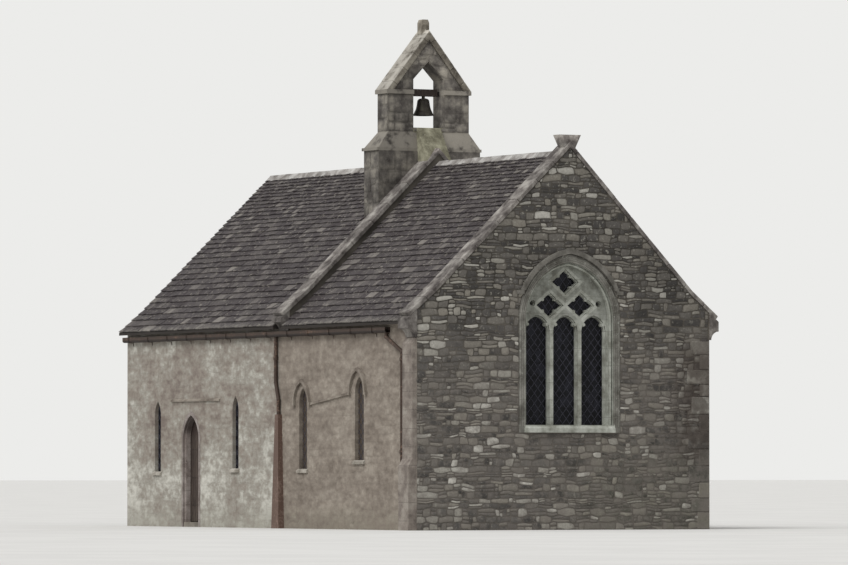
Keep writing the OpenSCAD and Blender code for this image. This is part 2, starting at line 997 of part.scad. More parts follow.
stone_floor();
nave_south_wall_west();
nave_south_wall_east();
nave_wall_over_door();
nave_north_wall();
west_gable_wall();
chancel_south_wall();
chancel_north_wall();
east_gable_wall();
chancel_arch_south_pier();
chancel_arch_north_pier();
cross_wall_over_arch();
nave_roof_south();
nave_roof_north();
chancel_roof_south();
chancel_roof_north();
ridge_stones();
east_gable_coping();
middle_gable_coping();
gable_kneelers();
gable_cross_stump();
east_window_surround();
east_window_hood();
east_window_tracery();
east_window_glass();
lancet_glass();
lancet_sills();
hood_moulds();
nave_string_course();
corner_pilaster();
gutters();
downpipes();
junction_pipe_casing();
doorway_surround();
door_leaf();
door_ironwork();
door_pintles();
bellcote_base();
bellcote_sill();
bellcote_piers();
bellcote_head();
bellcote_coping();
bellcote_finial();
bell_bearings();
bell();
bell_headstock();
bell_clapper();
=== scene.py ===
import math

import bpy
import numpy as np
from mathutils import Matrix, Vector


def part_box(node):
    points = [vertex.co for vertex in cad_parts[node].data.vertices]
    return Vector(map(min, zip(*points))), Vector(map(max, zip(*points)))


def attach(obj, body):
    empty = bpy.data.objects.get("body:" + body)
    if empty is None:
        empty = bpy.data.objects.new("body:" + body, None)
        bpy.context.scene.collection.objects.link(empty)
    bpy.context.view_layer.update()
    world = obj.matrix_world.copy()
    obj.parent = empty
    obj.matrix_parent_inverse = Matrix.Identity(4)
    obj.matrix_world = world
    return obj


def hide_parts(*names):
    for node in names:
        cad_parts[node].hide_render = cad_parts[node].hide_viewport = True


# Small stone chapel: slates, stones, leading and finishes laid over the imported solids.
# Metres; +X is east, +Y north, +Z up, and the ground is at 0.

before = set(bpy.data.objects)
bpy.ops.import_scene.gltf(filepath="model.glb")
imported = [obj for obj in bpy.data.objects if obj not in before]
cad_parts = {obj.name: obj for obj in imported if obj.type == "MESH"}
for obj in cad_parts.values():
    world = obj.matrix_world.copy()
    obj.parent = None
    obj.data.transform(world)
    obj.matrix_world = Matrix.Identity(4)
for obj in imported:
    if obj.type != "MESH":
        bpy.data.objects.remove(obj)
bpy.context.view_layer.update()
print("frame loaded,", len(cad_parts), "solids")


# The building's own lines

def box(node):
    # a solid's least and greatest corner
    low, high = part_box(node)
    return np.array(low), np.array(high)


southFace = box("chancel_south_wall")[0][1]
northFace = box("chancel_north_wall")[1][1]
westFace = box("west_gable_wall")[0][0]
eastFace = box("east_gable_wall")[1][0]
ridgeNorth = box("nave_roof_south")[1][1]
roof = dict(overhang=0.20, eave=4.045, bend=0.40, bendHeight=4.545, run=0.6, ridge=7.45)
roofKnots = np.array([
    [southFace - roof["overhang"], roof["eave"]], [southFace + roof["bend"], roof["bendHeight"]],
    [ridgeNorth, roof["ridge"]],
    [northFace - roof["bend"], roof["bendHeight"]], [northFace + roof["overhang"], roof["eave"]],
])
eastWindow = dict(middle=0.11, half=0.94, foot=2.06, spring=4.12, apex=5.20)
tracery = dict(
    mullion=0.125, frame=0.05, lightSpring=3.90, lightApex=4.192, roll=0.008, step=0.011, depth=6.297,
    lozenges=[(-0.35, 4.415, 0.278, 0.224), (0.35, 4.415, 0.278, 0.224), (0.0, 4.878, 0.272, 0.224)],
)
bellOpening = dict(middle=ridgeNorth, half=0.35, foot=8.18, spring=9.17, apex=9.538, straight=True)
doorSpring = 1.82
lancets = [
    dict(middle=x, half=half, foot=foot, spring=spring, apex=apex)
    for x, half, foot, spring, apex in (
        (-5.02, 0.14, 1.15, 2.33, 2.62), (-1.38, 0.14, 1.21, 2.39, 2.69),
        (1.66, 0.17, 1.20, 2.51, 2.82), (4.10, 0.19, 1.37, 2.70, 3.01),
    )
]


def doorShape(node, foot):
    # the pointed outline that a doorway solid fills, springing at the doorway's own level
    low, high = box(node)
    return dict(middle=(low[0] + high[0]) / 2, half=(high[0] - low[0]) / 2, foot=foot, spring=doorSpring,
                apex=high[2])


def roofHeight(y):
    # straight between eave, bend and ridge
    return np.interp(y, roofKnots[:, 0], roofKnots[:, 1])


def archRadius(opening):
    # r = (half^2 + rise^2) / (2 half), for two arcs that spring upright and meet at the apex
    rise = opening["apex"] - opening["spring"]
    return (opening["half"] ** 2 + rise ** 2) / (2 * opening["half"])


def halfWidth(opening, height):
    # half up to the springing, over it sqrt(r^2 - over^2) - r + half, or half (1 - over / rise)
    # where the head is straight-sided; 0 past the ends
    rise = opening["apex"] - opening["spring"]
    over = np.clip(height - opening["spring"], 0, rise)
    if opening.get("straight"):
        half = opening["half"] * (1 - over / rise)
    else:
        radius = archRadius(opening)
        half = np.sqrt(radius ** 2 - over ** 2) - radius + opening["half"]
    return np.where((height < opening["foot"]) | (height > opening["apex"]), 0.0, half)


def crownHeight(opening, offset):
    # the head over a point beside the middle: spring + sqrt(r^2 - (|offset| + r - half)^2), or
    # spring + rise (1 - |offset| / half) where it is straight-sided
    if opening.get("straight"):
        fall = np.clip(np.abs(offset) / opening["half"], 0, 1)
        return opening["apex"] - (opening["apex"] - opening["spring"]) * fall
    radius = archRadius(opening)
    run = np.clip(np.abs(offset) + radius - opening["half"], 0, radius)
    return opening["spring"] + np.sqrt(radius ** 2 - run ** 2)


def grown(opening, by):
    # the same arcs, every side moved out: the apex rises to where the wider arcs meet
    radius = archRadius(opening)
    apex = opening["spring"] + math.sqrt((radius + by) ** 2 - (radius - opening["half"]) ** 2)
    return dict(opening, half=opening["half"] + by, foot=opening["foot"] - by, apex=apex)


def archPath(opening, foot, count=18):
    # points (y, z) and outward directions up one jamb, over the apex and down the other:
    # each arc is middle -+ (r - half) +- r (cos t, sin t), t from the springing to the apex
    radius = archRadius(opening)
    top = math.acos((radius - opening["half"]) / radius)
    turn = np.linspace(0, top, count)
    right = np.stack([np.cos(turn), np.sin(turn)], -1)
    arc = right * radius + [opening["half"] - radius, opening["spring"]]
    jamb = np.array([[opening["half"], foot]])
    points = np.concatenate([jamb, arc])
    outward = np.concatenate([[[1.0, 0.0]], right])
    outward[-1] = [0, 1 / math.sin(top)]
    flip = np.array([-1, 1])
    points = np.concatenate([points * flip, points[-2::-1]]) + [opening["middle"], 0]
    outward = np.concatenate([outward * flip, outward[-2::-1]])
    return points, outward


def follow(knots, reach):
    # the point and the upward normal of a bent line at a reach along it; at a bend, the mitre
    steps = np.diff(knots, axis=0)
    lengths = np.hypot(steps[:, 0], steps[:, 1])
    starts = np.concatenate([[0], np.cumsum(lengths)])
    point = np.stack([np.interp(reach, starts, knots[:, 0]), np.interp(reach, starts, knots[:, 1])], -1)
    along = steps / lengths[:, None]
    last = len(along) - 1
    before = along[np.clip(np.searchsorted(starts, reach - 1e-5, "right") - 1, 0, last)]
    after = along[np.clip(np.searchsorted(starts, reach + 1e-5, "right") - 1, 0, last)]
    tangent = (before + after) / 2
    tangent = tangent / np.sum(tangent ** 2, -1, keepdims=True)
    normal = np.stack([-tangent[..., 1], tangent[..., 0]], -1)
    return point, normal * np.sign(normal[..., 1:])


def pathLength(knots):
    # the sum of a bent line's straight lengths
    return float(np.sum(np.hypot(*np.diff(knots, axis=0).T)))


# Closed meshes from whole arrays

def turnedOut(points, faceSets):
    # the sum over faces of p0 . (p1 x p2) is six times the enclosed volume; negative means inside out
    flat = points.reshape(-1, 3)
    volume = 0.0
    for faces in faceSets:
        for i in range(1, faces.shape[1] - 1):
            volume += np.sum(flat[faces[:, 0]] * np.cross(flat[faces[:, i]], flat[faces[:, i + 1]]))
    return [faces[:, ::-1] for faces in faceSets] if volume < 0 else faceSets


def slabs(front, back, traits):
    # front: lattices (n, nu, nv, 3); back: a point behind each border point; quads over the front
    # and round the band, one many-sided face behind
    n, nu, nv = front.shape[:3]
    index = np.arange(nu * nv).reshape(1, nu, nv)
    rim, index = borderOf(index)[0], index[0]
    behind = nu * nv + np.arange(len(rim))
    grid = np.stack([index[:-1, :-1], index[1:, :-1], index[1:, 1:], index[:-1, 1:]], -1).reshape(-1, 4)
    band = np.stack([rim, behind, np.roll(behind, -1), np.roll(rim, -1)], -1)
    start = np.arange(n)[:, None, None] * (nu * nv + len(rim))
    points = np.concatenate([front.reshape(n, -1, 3), back], 1)
    quads = (np.concatenate([grid, band]) + start).reshape(-1, 4)
    backs = (behind[::-1] + start).reshape(n, -1)
    return packed(points, [quads, backs], traits)


def borderOf(lattice):
    # the border of lattices (n, nu, nv, ...), in order round them
    return np.concatenate([
        lattice[:, :-1, 0], lattice[:, -1, :-1], lattice[:, :0:-1, -1], lattice[:, 0, :0:-1],
    ], 1)


def tubes(rings, traits=None):
    # rings (n, stations, sides, 3): quads from ring to ring, one face on each end
    n, stations, sides = rings.shape[:3]
    index = np.arange(stations * sides).reshape(stations, sides)
    turned = np.roll(index, -1, 1)
    wall = np.stack([index[:-1], turned[:-1], turned[1:], index[1:]], -1).reshape(-1, 4)
    start = np.arange(n)[:, None, None] * stations * sides
    quads = (wall + start).reshape(-1, 4)
    ends = (np.stack([index[0, ::-1], index[-1]]) + start).reshape(-1, sides)
    return packed(rings.reshape(n, -1, 3), [quads, ends], traits)


def packed(points, faceSets, traits=None):
    # a trait is one value for each shape or one for each point
    n, each = points.shape[:2]
    full = {
        name: (np.repeat(values, each) if np.ndim(values) == 1 else np.reshape(values, -1))
        for name, values in (traits or {}).items()
    }
    return points.reshape(-1, 3), turnedOut(points, faceSets), full


def chamferedBlocks(low, high, chamfer, traits):
    # boxes (n, 3) to (n, 3) with every edge along Z and round both ends cut by a chamfer
    n = len(low)
    cut = np.broadcast_to(chamfer, n)[:, None]
    side = np.array([[0, 1], [1, 0], [0, -1], [-1, 0]])
    xs = np.stack([low[:, 0], high[:, 0]], -1)
    ys = np.stack([low[:, 1], high[:, 1]], -1)
    pickX, pickY = [0, 1, 1, 1, 1, 0, 0, 0], [0, 0, 0, 1, 1, 1, 1, 0]
    moveX = np.array([1, -1, 0, 0, -1, 1, 0, 0])
    moveY = np.array([0, 0, 1, -1, 0, 0, -1, 1])
    section = np.stack([xs[:, pickX] + moveX * cut, ys[:, pickY] + moveY * cut], -1)
    middle = section.mean(1, keepdims=True)
    span = (high - low)[:, None, :2]
    small = middle + (section - middle) * (1 - 2 * cut[..., None] / span)
    heights = np.stack([low[:, 2], low[:, 2] + cut[:, 0], high[:, 2] - cut[:, 0], high[:, 2]], -1)
    flat = np.stack([small, section, section, small], 1)
    rings = np.concatenate([flat, np.broadcast_to(heights[:, :, None, None], (n, 4, 8, 1))], -1)
    return tubes(rings, traits)


def bars(start, end, flat, wide, deep):
    # straight bars from start to end (n, 3): a rectangle, deep along the unit vector flat and
    # wide along direction x flat
    along = end - start
    along = along / np.linalg.norm(along, axis=-1, keepdims=True)
    flat = np.broadcast_to(flat, along.shape)
    side = np.cross(along, flat)
    corners = [(-1, -1), (1, -1), (1, 1), (-1, 1)]
    ring = np.stack([side * (a * wide / 2) + flat * (b * deep / 2) for a, b in corners], 1)
    return tubes(np.stack([start[:, None] + ring, end[:, None] + ring], 1))


def link(name, data):
    made = bpy.data.objects.new(name, data)
    bpy.context.scene.collection.objects.link(made)
    return made


def piece(name, parts, finish, body="chapel", standsFor=(), sharp=35):
    # parts put into one mesh, with their traits as point attributes, on the body that carries it
    points = np.concatenate([part[0] for part in parts])
    starts = np.cumsum([0] + [len(part[0]) for part in parts])
    faceSets = [faces + start for part, start in zip(parts, starts) for faces in part[1]]
    loops = np.concatenate([faces.ravel() for faces in faceSets]).astype(np.int32)
    sides = np.concatenate([np.full(len(faces), faces.shape[1]) for faces in faceSets])
    mesh = bpy.data.meshes.new(name)
    mesh.vertices.add(len(points))
    mesh.vertices.foreach_set("co", points.astype(np.float32).ravel())
    mesh.loops.add(len(loops))
    mesh.loops.foreach_set("vertex_index", loops)
    mesh.polygons.add(len(sides))
    mesh.polygons.foreach_set("loop_start", (np.cumsum(sides) - sides).astype(np.int32))
    mesh.update(calc_edges=True)
    mesh.shade_smooth()
    mesh.set_sharp_from_angle(angle=math.radians(sharp))
    for trait in parts[0][2]:
        values = np.concatenate([part[2][trait] for part in parts]).astype(np.float32)
        mesh.attributes.new(trait, "FLOAT", "POINT").data.foreach_set("value", values)
    mesh.materials.append(finish)
    made = link(name, mesh)
    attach(made, body)
    if standsFor:
        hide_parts(*standsFor)
    print("made", name, "with", int(np.sum(sides - 2)), "triangles")


# Finishes: arithmetic on sockets, and one method for every other node

def paint(red, green, blue):
    # screen values from 0 to 255 as the linear colour that a shader takes
    screen = np.array([red, green, blue]) / 255
    linear = np.where(screen <= 0.04045, screen / 12.92, ((screen + 0.055) / 1.055) ** 2.4)
    return (*linear.tolist(), 1.0)


class Wire:
    # an output socket; the operators on it add Math nodes, from either side
    def __init__(self, finish, socket):
        self.finish = finish
        self.socket = socket

    def maths(self, operation, first, second):
        return self.finish.node("ShaderNodeMath", {"operation": operation}, {0: first, 1: second})

    def __add__(self, other):
        return self.maths("ADD", self, other)

    __radd__ = __add__

    def __mul__(self, other):
        return self.maths("MULTIPLY", self, other)

    __rmul__ = __mul__

    def __sub__(self, other):
        return self.maths("SUBTRACT", self, other)

    def __rsub__(self, other):
        return self.maths("SUBTRACT", other, self)

    def __truediv__(self, other):
        return self.maths("DIVIDE", self, other)

    def __abs__(self):
        return self.maths("ABSOLUTE", self, 0.0)

    def __mod__(self, other):
        return self.maths("FLOORED_MODULO", self, other)


class Finish:
    # a material or world by its node tree
    def __init__(self, owner):
        owner.use_nodes = True
        self.owner = owner
        self.tree = owner.node_tree
        self.tree.nodes.clear()

    def node(self, kind, settings=None, sockets=None, output=0):
        made = self.tree.nodes.new(kind)
        for key, value in (settings or {}).items():
            if key == "stops":
                ramp = made.color_ramp
                while len(ramp.elements) < len(value):
                    ramp.elements.new(1.0)
                for element, (position, colour) in zip(ramp.elements, value):
                    element.position = position
                    element.color = colour
            else:
                setattr(made, key, value)
        for key, value in (sockets or {}).items():
            if isinstance(value, Wire):
                self.tree.links.new(value.socket, made.inputs[key])
            else:
                made.inputs[key].default_value = value
        return Wire(self, made.outputs[output]) if made.outputs else None

    def place(self, stretch=(1, 1, 1)):
        here = self.node("ShaderNodeTexCoord", output="Object")
        if stretch == (1, 1, 1):
            return here
        return self.node("ShaderNodeMapping", sockets={"Vector": here, "Scale": stretch})

    def axis(self, letter):
        return self.node("ShaderNodeSeparateXYZ", sockets={0: self.place()}, output=letter)

    def trait(self, name):
        return self.node("ShaderNodeAttribute", {"attribute_name": name}, output="Fac")

    def noise(self, scale, detail=4, stretch=(1, 1, 1), roughness=0.55):
        return self.node("ShaderNodeTexNoise", sockets={
            "Vector": self.place(stretch), "Scale": scale, "Detail": detail, "Roughness": roughness,
        })

    def spots(self, scale, low, high, roughness=0.7):
        # lichen: the peaks of a rough noise
        return self.between(self.noise(scale, 5, roughness=roughness), low, high)

    def cells(self, scale, stretch=(1, 1, 1), feature="F1", output="Distance"):
        return self.node("ShaderNodeTexVoronoi", {"feature": feature},
                         {"Vector": self.place(stretch), "Scale": scale}, output)

    def outside(self, opening):
        # the distance out from an arch's line over its springing, in the Y-Z plane:
        # sqrt((|offset| + r - half)^2 + (height - spring)^2) - r
        radius = archRadius(opening)
        offset = abs(self.axis("Y") - opening["middle"]) + (radius - opening["half"])
        spoke = self.node("ShaderNodeCombineXYZ", sockets={0: offset, 1: self.axis("Z") - opening["spring"]})
        return self.node("ShaderNodeVectorMath", {"operation": "LENGTH"}, {0: spoke}, "Value") - radius

    def between(self, value, low, high):
        # 0 up to low, 1 from high, a smooth step between; low may be the greater
        rise = {"Value": value, "From Min": min(low, high), "From Max": max(low, high)}
        step = self.node("ShaderNodeMapRange", {"interpolation_type": "SMOOTHSTEP"}, rise)
        return step if low < high else 1 - step

    def ramp(self, value, *stops):
        # stops are a position and a painted colour in screen values
        return self.node("ShaderNodeValToRGB", {"stops": [(at, paint(*c)) for at, c in stops]}, {0: value})

    def blend(self, mask, first, second, how="MIX"):
        # first where the mask is 0, second where it is 1
        first, second = (paint(*c) if isinstance(c, tuple) else c for c in (first, second))
        return self.node("ShaderNodeMix", {"data_type": "RGBA", "blend_type": how},
                         {0: mask, 6: first, 7: second}, 2)

    def shade(self, colour, value, low, high):
        # the colour made darker or lighter: times low where the value is 0, times high where it is 1
        stops = [(position, (grey, grey, grey, 1)) for position, grey in ((0.0, low), (1.0, high))]
        gain = self.node("ShaderNodeValToRGB", {"stops": stops}, {0: value})
        return self.blend(1.0, colour, gain, "MULTIPLY")

    def surface(self, colour, roughness, height=None, depth=0.01, **fixed):
        # the finished shader; height is a relief of the given depth, seen in the light alone
        sockets = {"Base Color": colour, "Roughness": roughness, "Specular IOR Level": 0.3}
        sockets.update({key.replace("_", " "): value for key, value in fixed.items()})
        if height is not None:
            sockets["Normal"] = self.node("ShaderNodeBump", sockets={"Height": height, "Distance": depth},
                                          output="Normal")
        shader = self.node("ShaderNodeBsdfPrincipled", sockets=sockets)
        self.node("ShaderNodeOutputMaterial", sockets={"Surface": shader})
        return self.owner


def finish(name):
    return Finish(bpy.data.materials.new(name))


weather = dict(
    chancelLime=[(0.36, (108, 99, 90)), (0.5, (131, 122, 112)), (0.64, (154, 146, 135))],
    naveLime=[(0.34, (114, 104, 97)), (0.44, (134, 126, 117)), (0.54, (150, 146, 137)), (0.66, (188, 186, 177))],
    limeRuns=(98, 88, 80),
    limeFoot=(112, 108, 94),
    limeRim=(116, 107, 97),
    plaster=[(0.35, (196, 190, 178)), (0.65, (214, 209, 198))],
    mortar=(80, 76, 69),
    mortarBed=[(0.36, (58, 55, 50)), (0.64, (92, 87, 80))],
    redStain=(56, 47, 41),
    oldLime=(114, 108, 102),
)


def limeColour(lime):
    # patches as long and low as the stones below; the nave is whiter low down and at its west
    # end, and browner half-way up
    long = (0.62, 0.62, 1)
    patch = lime.noise(1.6, 4, stretch=long) * 0.45 + lime.noise(8, 5, stretch=long, roughness=0.62) * 0.55
    streak = lime.noise(5, 3, stretch=(1, 1, 0.16))
    fine = lime.noise(30, 5, stretch=long, roughness=0.62)
    height, east = lime.axis("Z"), lime.axis("X")
    white = lime.between(height, 2.1, 0.5) * 0.07 + lime.between(east, -5.0, -6.3) * 0.04
    brown = lime.between(abs(height - 2.5), 1.0, 0.2) * lime.between(abs(east + 3.4), 2.6, 1.0) * 0.07
    chancel = lime.ramp(patch, *weather["chancelLime"])
    nave = lime.ramp(patch + white - brown, *weather["naveLime"])
    colour = lime.blend(lime.between(east, 0.5, 0.7), nave, chancel)
    colour = lime.shade(colour, fine, 0.84, 1.16)
    runs = lime.between(height, 3.1, 3.95) * lime.between(streak, 0.44, 0.6)
    colour = lime.blend(runs * 0.3, colour, weather["limeRuns"])
    foot = lime.between(height, 0.7, 0.05) * lime.between(patch, 0.4, 0.55)
    return lime.blend(foot * 0.4, colour, weather["limeFoot"])


def limewashFinish():
    # each stone a little lighter or darker, and duller at its rim
    lime = finish("limewash")
    colour = lime.shade(limeColour(lime), lime.trait("tone"), 0.96, 1.05)
    colour = lime.blend(lime.trait("rim") * 0.2, colour, weather["limeRim"])
    bump = lime.noise(30, 4) * 0.35 + lime.noise(9, 3) * 0.65
    return lime.surface(colour, 0.92, bump, 0.012)


def redCorner(stone):
    # damp red-brown stones up the east wall's north corner
    corner = stone.between(stone.axis("X"), 5.5, 5.8) * stone.between(stone.axis("Y"), 2.2, 2.9)
    band = stone.between(abs(stone.axis("Z") - 2.5), 1.5, 0.7)
    return corner * band * stone.between(stone.noise(2.6, 4), 0.36, 0.5)


def rubbleMortar(core):
    # the end walls' long sides are limewashed like the walls that they meet
    mortar = core.ramp(core.noise(1.6, 4), *weather["mortarBed"])
    mortar = core.blend(core.between(core.axis("Z"), 4.4, 2.6) * 0.5, mortar, weather["oldLime"])
    mortar = core.blend(redCorner(core) * 0.7, mortar, weather["redStain"])
    return core.blend(core.between(abs(core.axis("Y")), 3.29, 3.295), mortar, limeColour(core))


def wallCoreFinish(name, outside):
    # behind the laid stones: outside the building as given, inside it plaster up to the rafters,
    # which lie under height + 0.96 |north - ridge|
    core = finish(name)
    north, height = core.axis("Y"), core.axis("Z")
    inside = core.between(abs(north), 3.1, 2.9) * core.between(abs(core.axis("X")), 6.3, 6.1)
    inside = inside * core.between(height + abs(north - ridgeNorth) * 0.96, 7.26, 7.22)
    mottle = core.noise(7, 4)
    fine = core.noise(45, 4)
    plaster = core.shade(core.ramp(mottle, *weather["plaster"]), fine, 0.92, 1.06)
    face = core.shade(outside(core), fine, 0.8, 1.16)
    return core.surface(core.blend(inside, face, plaster), 0.93, mottle * 0.5 + fine * 0.5, 0.008)


rubbleLook = dict(
    tones=[
        (0.0, (60, 58, 56)), (0.28, (87, 84, 81)), (0.55, (108, 104, 98)), (0.78, (129, 124, 115)),
        (0.92, (154, 151, 143)), (1.0, (184, 181, 173)),
    ],
    lichen=(152, 149, 139),
    green=(112, 112, 88),
)


def rubbleFinish():
    # grey stones by tone, with lichen that thickens upwards, green low down at the north, shade
    # past the window and near the top, and traces of old limewash below
    rubble = finish("rubble")
    height, north = rubble.axis("Z"), rubble.axis("Y")
    patch = rubble.noise(0.9, 3)
    grain = rubble.noise(20, 6, roughness=0.68)
    colour = rubble.ramp(rubble.trait("tone"), *rubbleLook["tones"])
    colour = rubble.shade(colour, grain, 0.5, 1.5)
    colour = rubble.shade(colour, patch, 0.84, 1.18)
    high = rubble.between(height, 3.6, 5.6) * 0.4 + 0.4
    colour = rubble.blend(rubble.spots(12, 0.56, 0.64) * high, colour, rubbleLook["lichen"])
    colour = rubble.blend(rubble.trait("rim") * 0.4, colour, weather["mortar"])
    green = rubble.between(height, 2.2, 0.6) * rubble.between(north, -0.6, 1.4)
    colour = rubble.blend(green * 0.16, colour, rubbleLook["green"])
    colour = rubble.shade(colour, rubble.between(north, 1.1, 2.0), 1.0, 0.8)
    colour = rubble.shade(colour, rubble.between(height, 4.4, 5.4), 1.0, 0.86)
    patchy = rubble.between(rubble.noise(4.5, 6, roughness=0.68), 0.4, 0.6)
    traces = rubble.between(height, 4.6, 2.6) * patchy
    colour = rubble.blend(traces * 0.6, colour, weather["oldLime"])
    colour = rubble.blend(redCorner(rubble) * 0.6, colour, weather["redStain"])
    return rubble.surface(colour, 0.93, grain * 0.6 + rubble.noise(90, 3) * 0.4, 0.012)


slateLook = dict(
    tones=[
        (0.0, (54, 48, 49)), (0.4, (66, 61, 62)), (0.75, (75, 70, 69)), (0.94, (87, 82, 80)),
        (1.0, (118, 113, 108)),
    ],
    lichen=(142, 137, 128),
    crust=(146, 142, 133),
)


def slateFinish():
    # purplish brown stone with pale lichen spots, crusted along the eaves
    slate = finish("slate")
    grain = slate.noise(16, 5, stretch=(1, 0.5, 0.5), roughness=0.62)
    patch = slate.noise(0.7, 3)
    colour = slate.ramp(slate.trait("tone"), *slateLook["tones"])
    colour = slate.shade(colour, grain, 0.66, 1.3)
    colour = slate.shade(colour, patch, 0.86, 1.12)
    colour = slate.blend(slate.spots(11, 0.56, 0.63, 0.72) * 0.6, colour, slateLook["lichen"])
    crust = slate.between(slate.axis("Z"), 4.22, 4.02) * slate.between(grain, 0.4, 0.58)
    colour = slate.blend(crust * 0.6, colour, slateLook["crust"])
    return slate.surface(colour, 0.85, grain * 0.7 + slate.noise(60, 3) * 0.3, 0.006)


dressed = dict(
    # the window's hoodShadow colour is a painted shadow under the hood mould
    window=dict(dark=(120, 120, 111), middle=(152, 154, 145), pale=(178, 180, 172), joint=0.34,
                hoodShadow=(52, 48, 44)),
    surround=dict(dark=(82, 79, 73), middle=(106, 103, 97), pale=(130, 127, 120)),
    trim=dict(dark=(104, 95, 86), middle=(132, 123, 113), pale=(150, 142, 131)),
    sill=dict(dark=(128, 122, 112), middle=(158, 152, 142), pale=(184, 179, 169)),
    coping=dict(dark=(64, 59, 57), middle=(106, 101, 97), pale=(148, 144, 138),
                lifts=[("Z", 7.60, 7.72, 2.3)]),
    ridge=dict(dark=(100, 95, 91), middle=(136, 132, 128), pale=(174, 172, 168)),
    belfry=dict(dark=(64, 60, 57), middle=(94, 90, 85), pale=(128, 123, 114),
                bands=[(7.70, 8.095), (8.862, 8.956)], banded=(134, 129, 120),
                lifts=[("Y", 0.35, 0.45, 1.45), ("Z", 9.2, 9.5, 1.45)]),
    crest=dict(dark=(84, 79, 71), middle=(118, 112, 102), pale=(150, 145, 133),
               lifts=[("Z", 10.1, 10.14, 1.55)], paleTop=(184, 180, 172)),
    ledge=dict(dark=(88, 84, 70), middle=(126, 123, 104), pale=(162, 159, 138)),
    pilaster=dict(dark=(104, 96, 90), middle=(132, 123, 115), pale=(154, 147, 138), joint=0.36),
    # the doorway's reveal gain is painted light in its recess, and headShade is painted shade in its head
    doorway=dict(dark=(116, 106, 101), middle=(140, 131, 126), pale=(160, 152, 147), joint=0.30,
                 reveal=1.3, headShade=(52, 38, 35)),
)


def blotched(stone, blotch, look):
    # dark, middle and pale as the blotches rise
    return stone.ramp(blotch, (0.36, look["dark"]), (0.5, look["middle"]), (0.64, look["pale"]))


def windowWeather(stone, colour, blotch):
    # the outer ring is as dull as the surround but for the sill, a painted shadow hangs under the hood
    # mould, and the bars get painted light and the spandrels painted shade: a bar is where
    # |y| / wide + |z| / tall from a lozenge's middle is under 1.5, and everything below the springing
    east, height = stone.axis("X"), stone.axis("Z")
    offset = abs(stone.axis("Y") - eastWindow["middle"])
    sill = stone.between(height, 2.07, 2.05) * stone.between(offset, 1.03, 1.01)
    outer = blotched(stone, blotch, dressed["surround"])
    colour = stone.blend(stone.between(east, 6.485, 6.5) * (1 - sill) * 0.85, colour, outer)
    colour = stone.shade(colour, sill, 1.0, 1.14)
    # painted shadow: a dark band just under the hood mould's line
    edge = stone.outside(dict(eastWindow, half=eastWindow["half"] + 0.2, apex=5.43))
    hoodShadow = stone.between(edge, -0.05, -0.01) * stone.between(height, 4.55, 4.65)
    colour = stone.blend(hoodShadow * 0.75, colour, dressed["window"]["hoodShadow"])
    bars = stone.between(height, 4.16, 4.1)
    for place, level, wide, tall in tracery["lozenges"]:
        across = abs(stone.axis("Y") - (eastWindow["middle"] + place)) / wide
        bars = bars + stone.between(across + abs(height - level) / tall, 1.5, 1.38)
    # painted light and shade: the bars round the lozenges and the mullions lighter, the spandrels between them
    # darker
    plane = stone.between(east, 6.36, 6.35)
    colour = stone.shade(colour, plane * stone.between(bars, 0.0, 1.0), 1.0, 1.12)
    return stone.shade(colour, plane * stone.between(bars, 1.0, 0.0), 1.0, 0.8)


def dressedFinish(name):
    # dark, middle and pale by blotches; some looks add bed joints, pale bands, painted light on a
    # doorway's reveal below painted shade in its head, a paler top by how far down from the slope a
    # point lies, or a gain past a level of X, Y or Z
    look = dressed[name]
    stone = finish(name + "Stone")
    height = stone.axis("Z")
    blotch = stone.noise(3.2, 5, roughness=0.62)
    grain = stone.noise(38, 4)
    colour = blotched(stone, blotch, look)
    if name == "window":
        colour = windowWeather(stone, colour, blotch)
    colour = stone.shade(colour, stone.trait("tone"), 0.88, 1.18)
    colour = stone.shade(colour, grain, 0.76, 1.24)
    colour = stone.blend(stone.spots(13, 0.58, 0.67) * 0.4, colour, look["pale"])
    colour = stone.blend(stone.trait("rim") * 0.45, colour, look["dark"])
    for low, high in look.get("bands", []):
        band = stone.between(height, low - 0.004, low) * stone.between(height, high + 0.004, high)
        colour = stone.blend(band * stone.between(blotch, 0.3, 0.5) * 0.8, colour, look["banded"])
    # a paler top along the coping's upper face, in patches
    if look.get("paleTop"):
        low, high = box("bellcote_coping")
        pitch = (high[2] - low[2]) / (high[1] - ridgeNorth)
        down = high[2] - height - abs(stone.axis("Y") - ridgeNorth) * pitch
        top = stone.between(down, 0.04, 0.025) * stone.between(down, -0.03, -0.015)
        colour = stone.blend(top * stone.between(blotch, 0.36, 0.54) * 0.55, colour, look["paleTop"])
    for axis, low, high, gain in look.get("lifts", []):
        colour = stone.shade(colour, stone.between(stone.axis(axis), low, high), 1.0, gain)
    # painted light on the doorway's reveal below the springing, painted shade in the head of the arch
    if look.get("reveal"):
        behind = stone.between(stone.axis("Y"), southFace + 0.004, southFace + 0.012)
        colour = stone.shade(colour, behind * stone.between(height, 2.0, 1.9), 1.0, look["reveal"])
        colour = stone.blend(behind * stone.between(height, 1.9, 2.05) * 0.6, colour, look["headShade"])
    relief = grain * 0.5 + blotch * 0.5
    if look.get("joint"):
        course = abs((height % look["joint"]) - look["joint"] / 2)
        joint = stone.between(course, 0.009, 0.003)
        colour = stone.blend(joint * 0.5, colour, look["dark"])
        relief = relief - joint * 0.5
    return stone.surface(colour, 0.88, relief, 0.008)


irons = dict(
    rustyIron=dict(dark=(66, 54, 47), rust=(116, 96, 84), amount=0.55),
    redCasing=dict(dark=(97, 78, 69), rust=(126, 107, 97), amount=0.6),
    darkIron=dict(dark=(34, 32, 31), rust=(70, 54, 44), amount=0.1),
    # gutterUnderShade: painted shade under the gutters
    gutterUnderShade=(34, 28, 26),
)


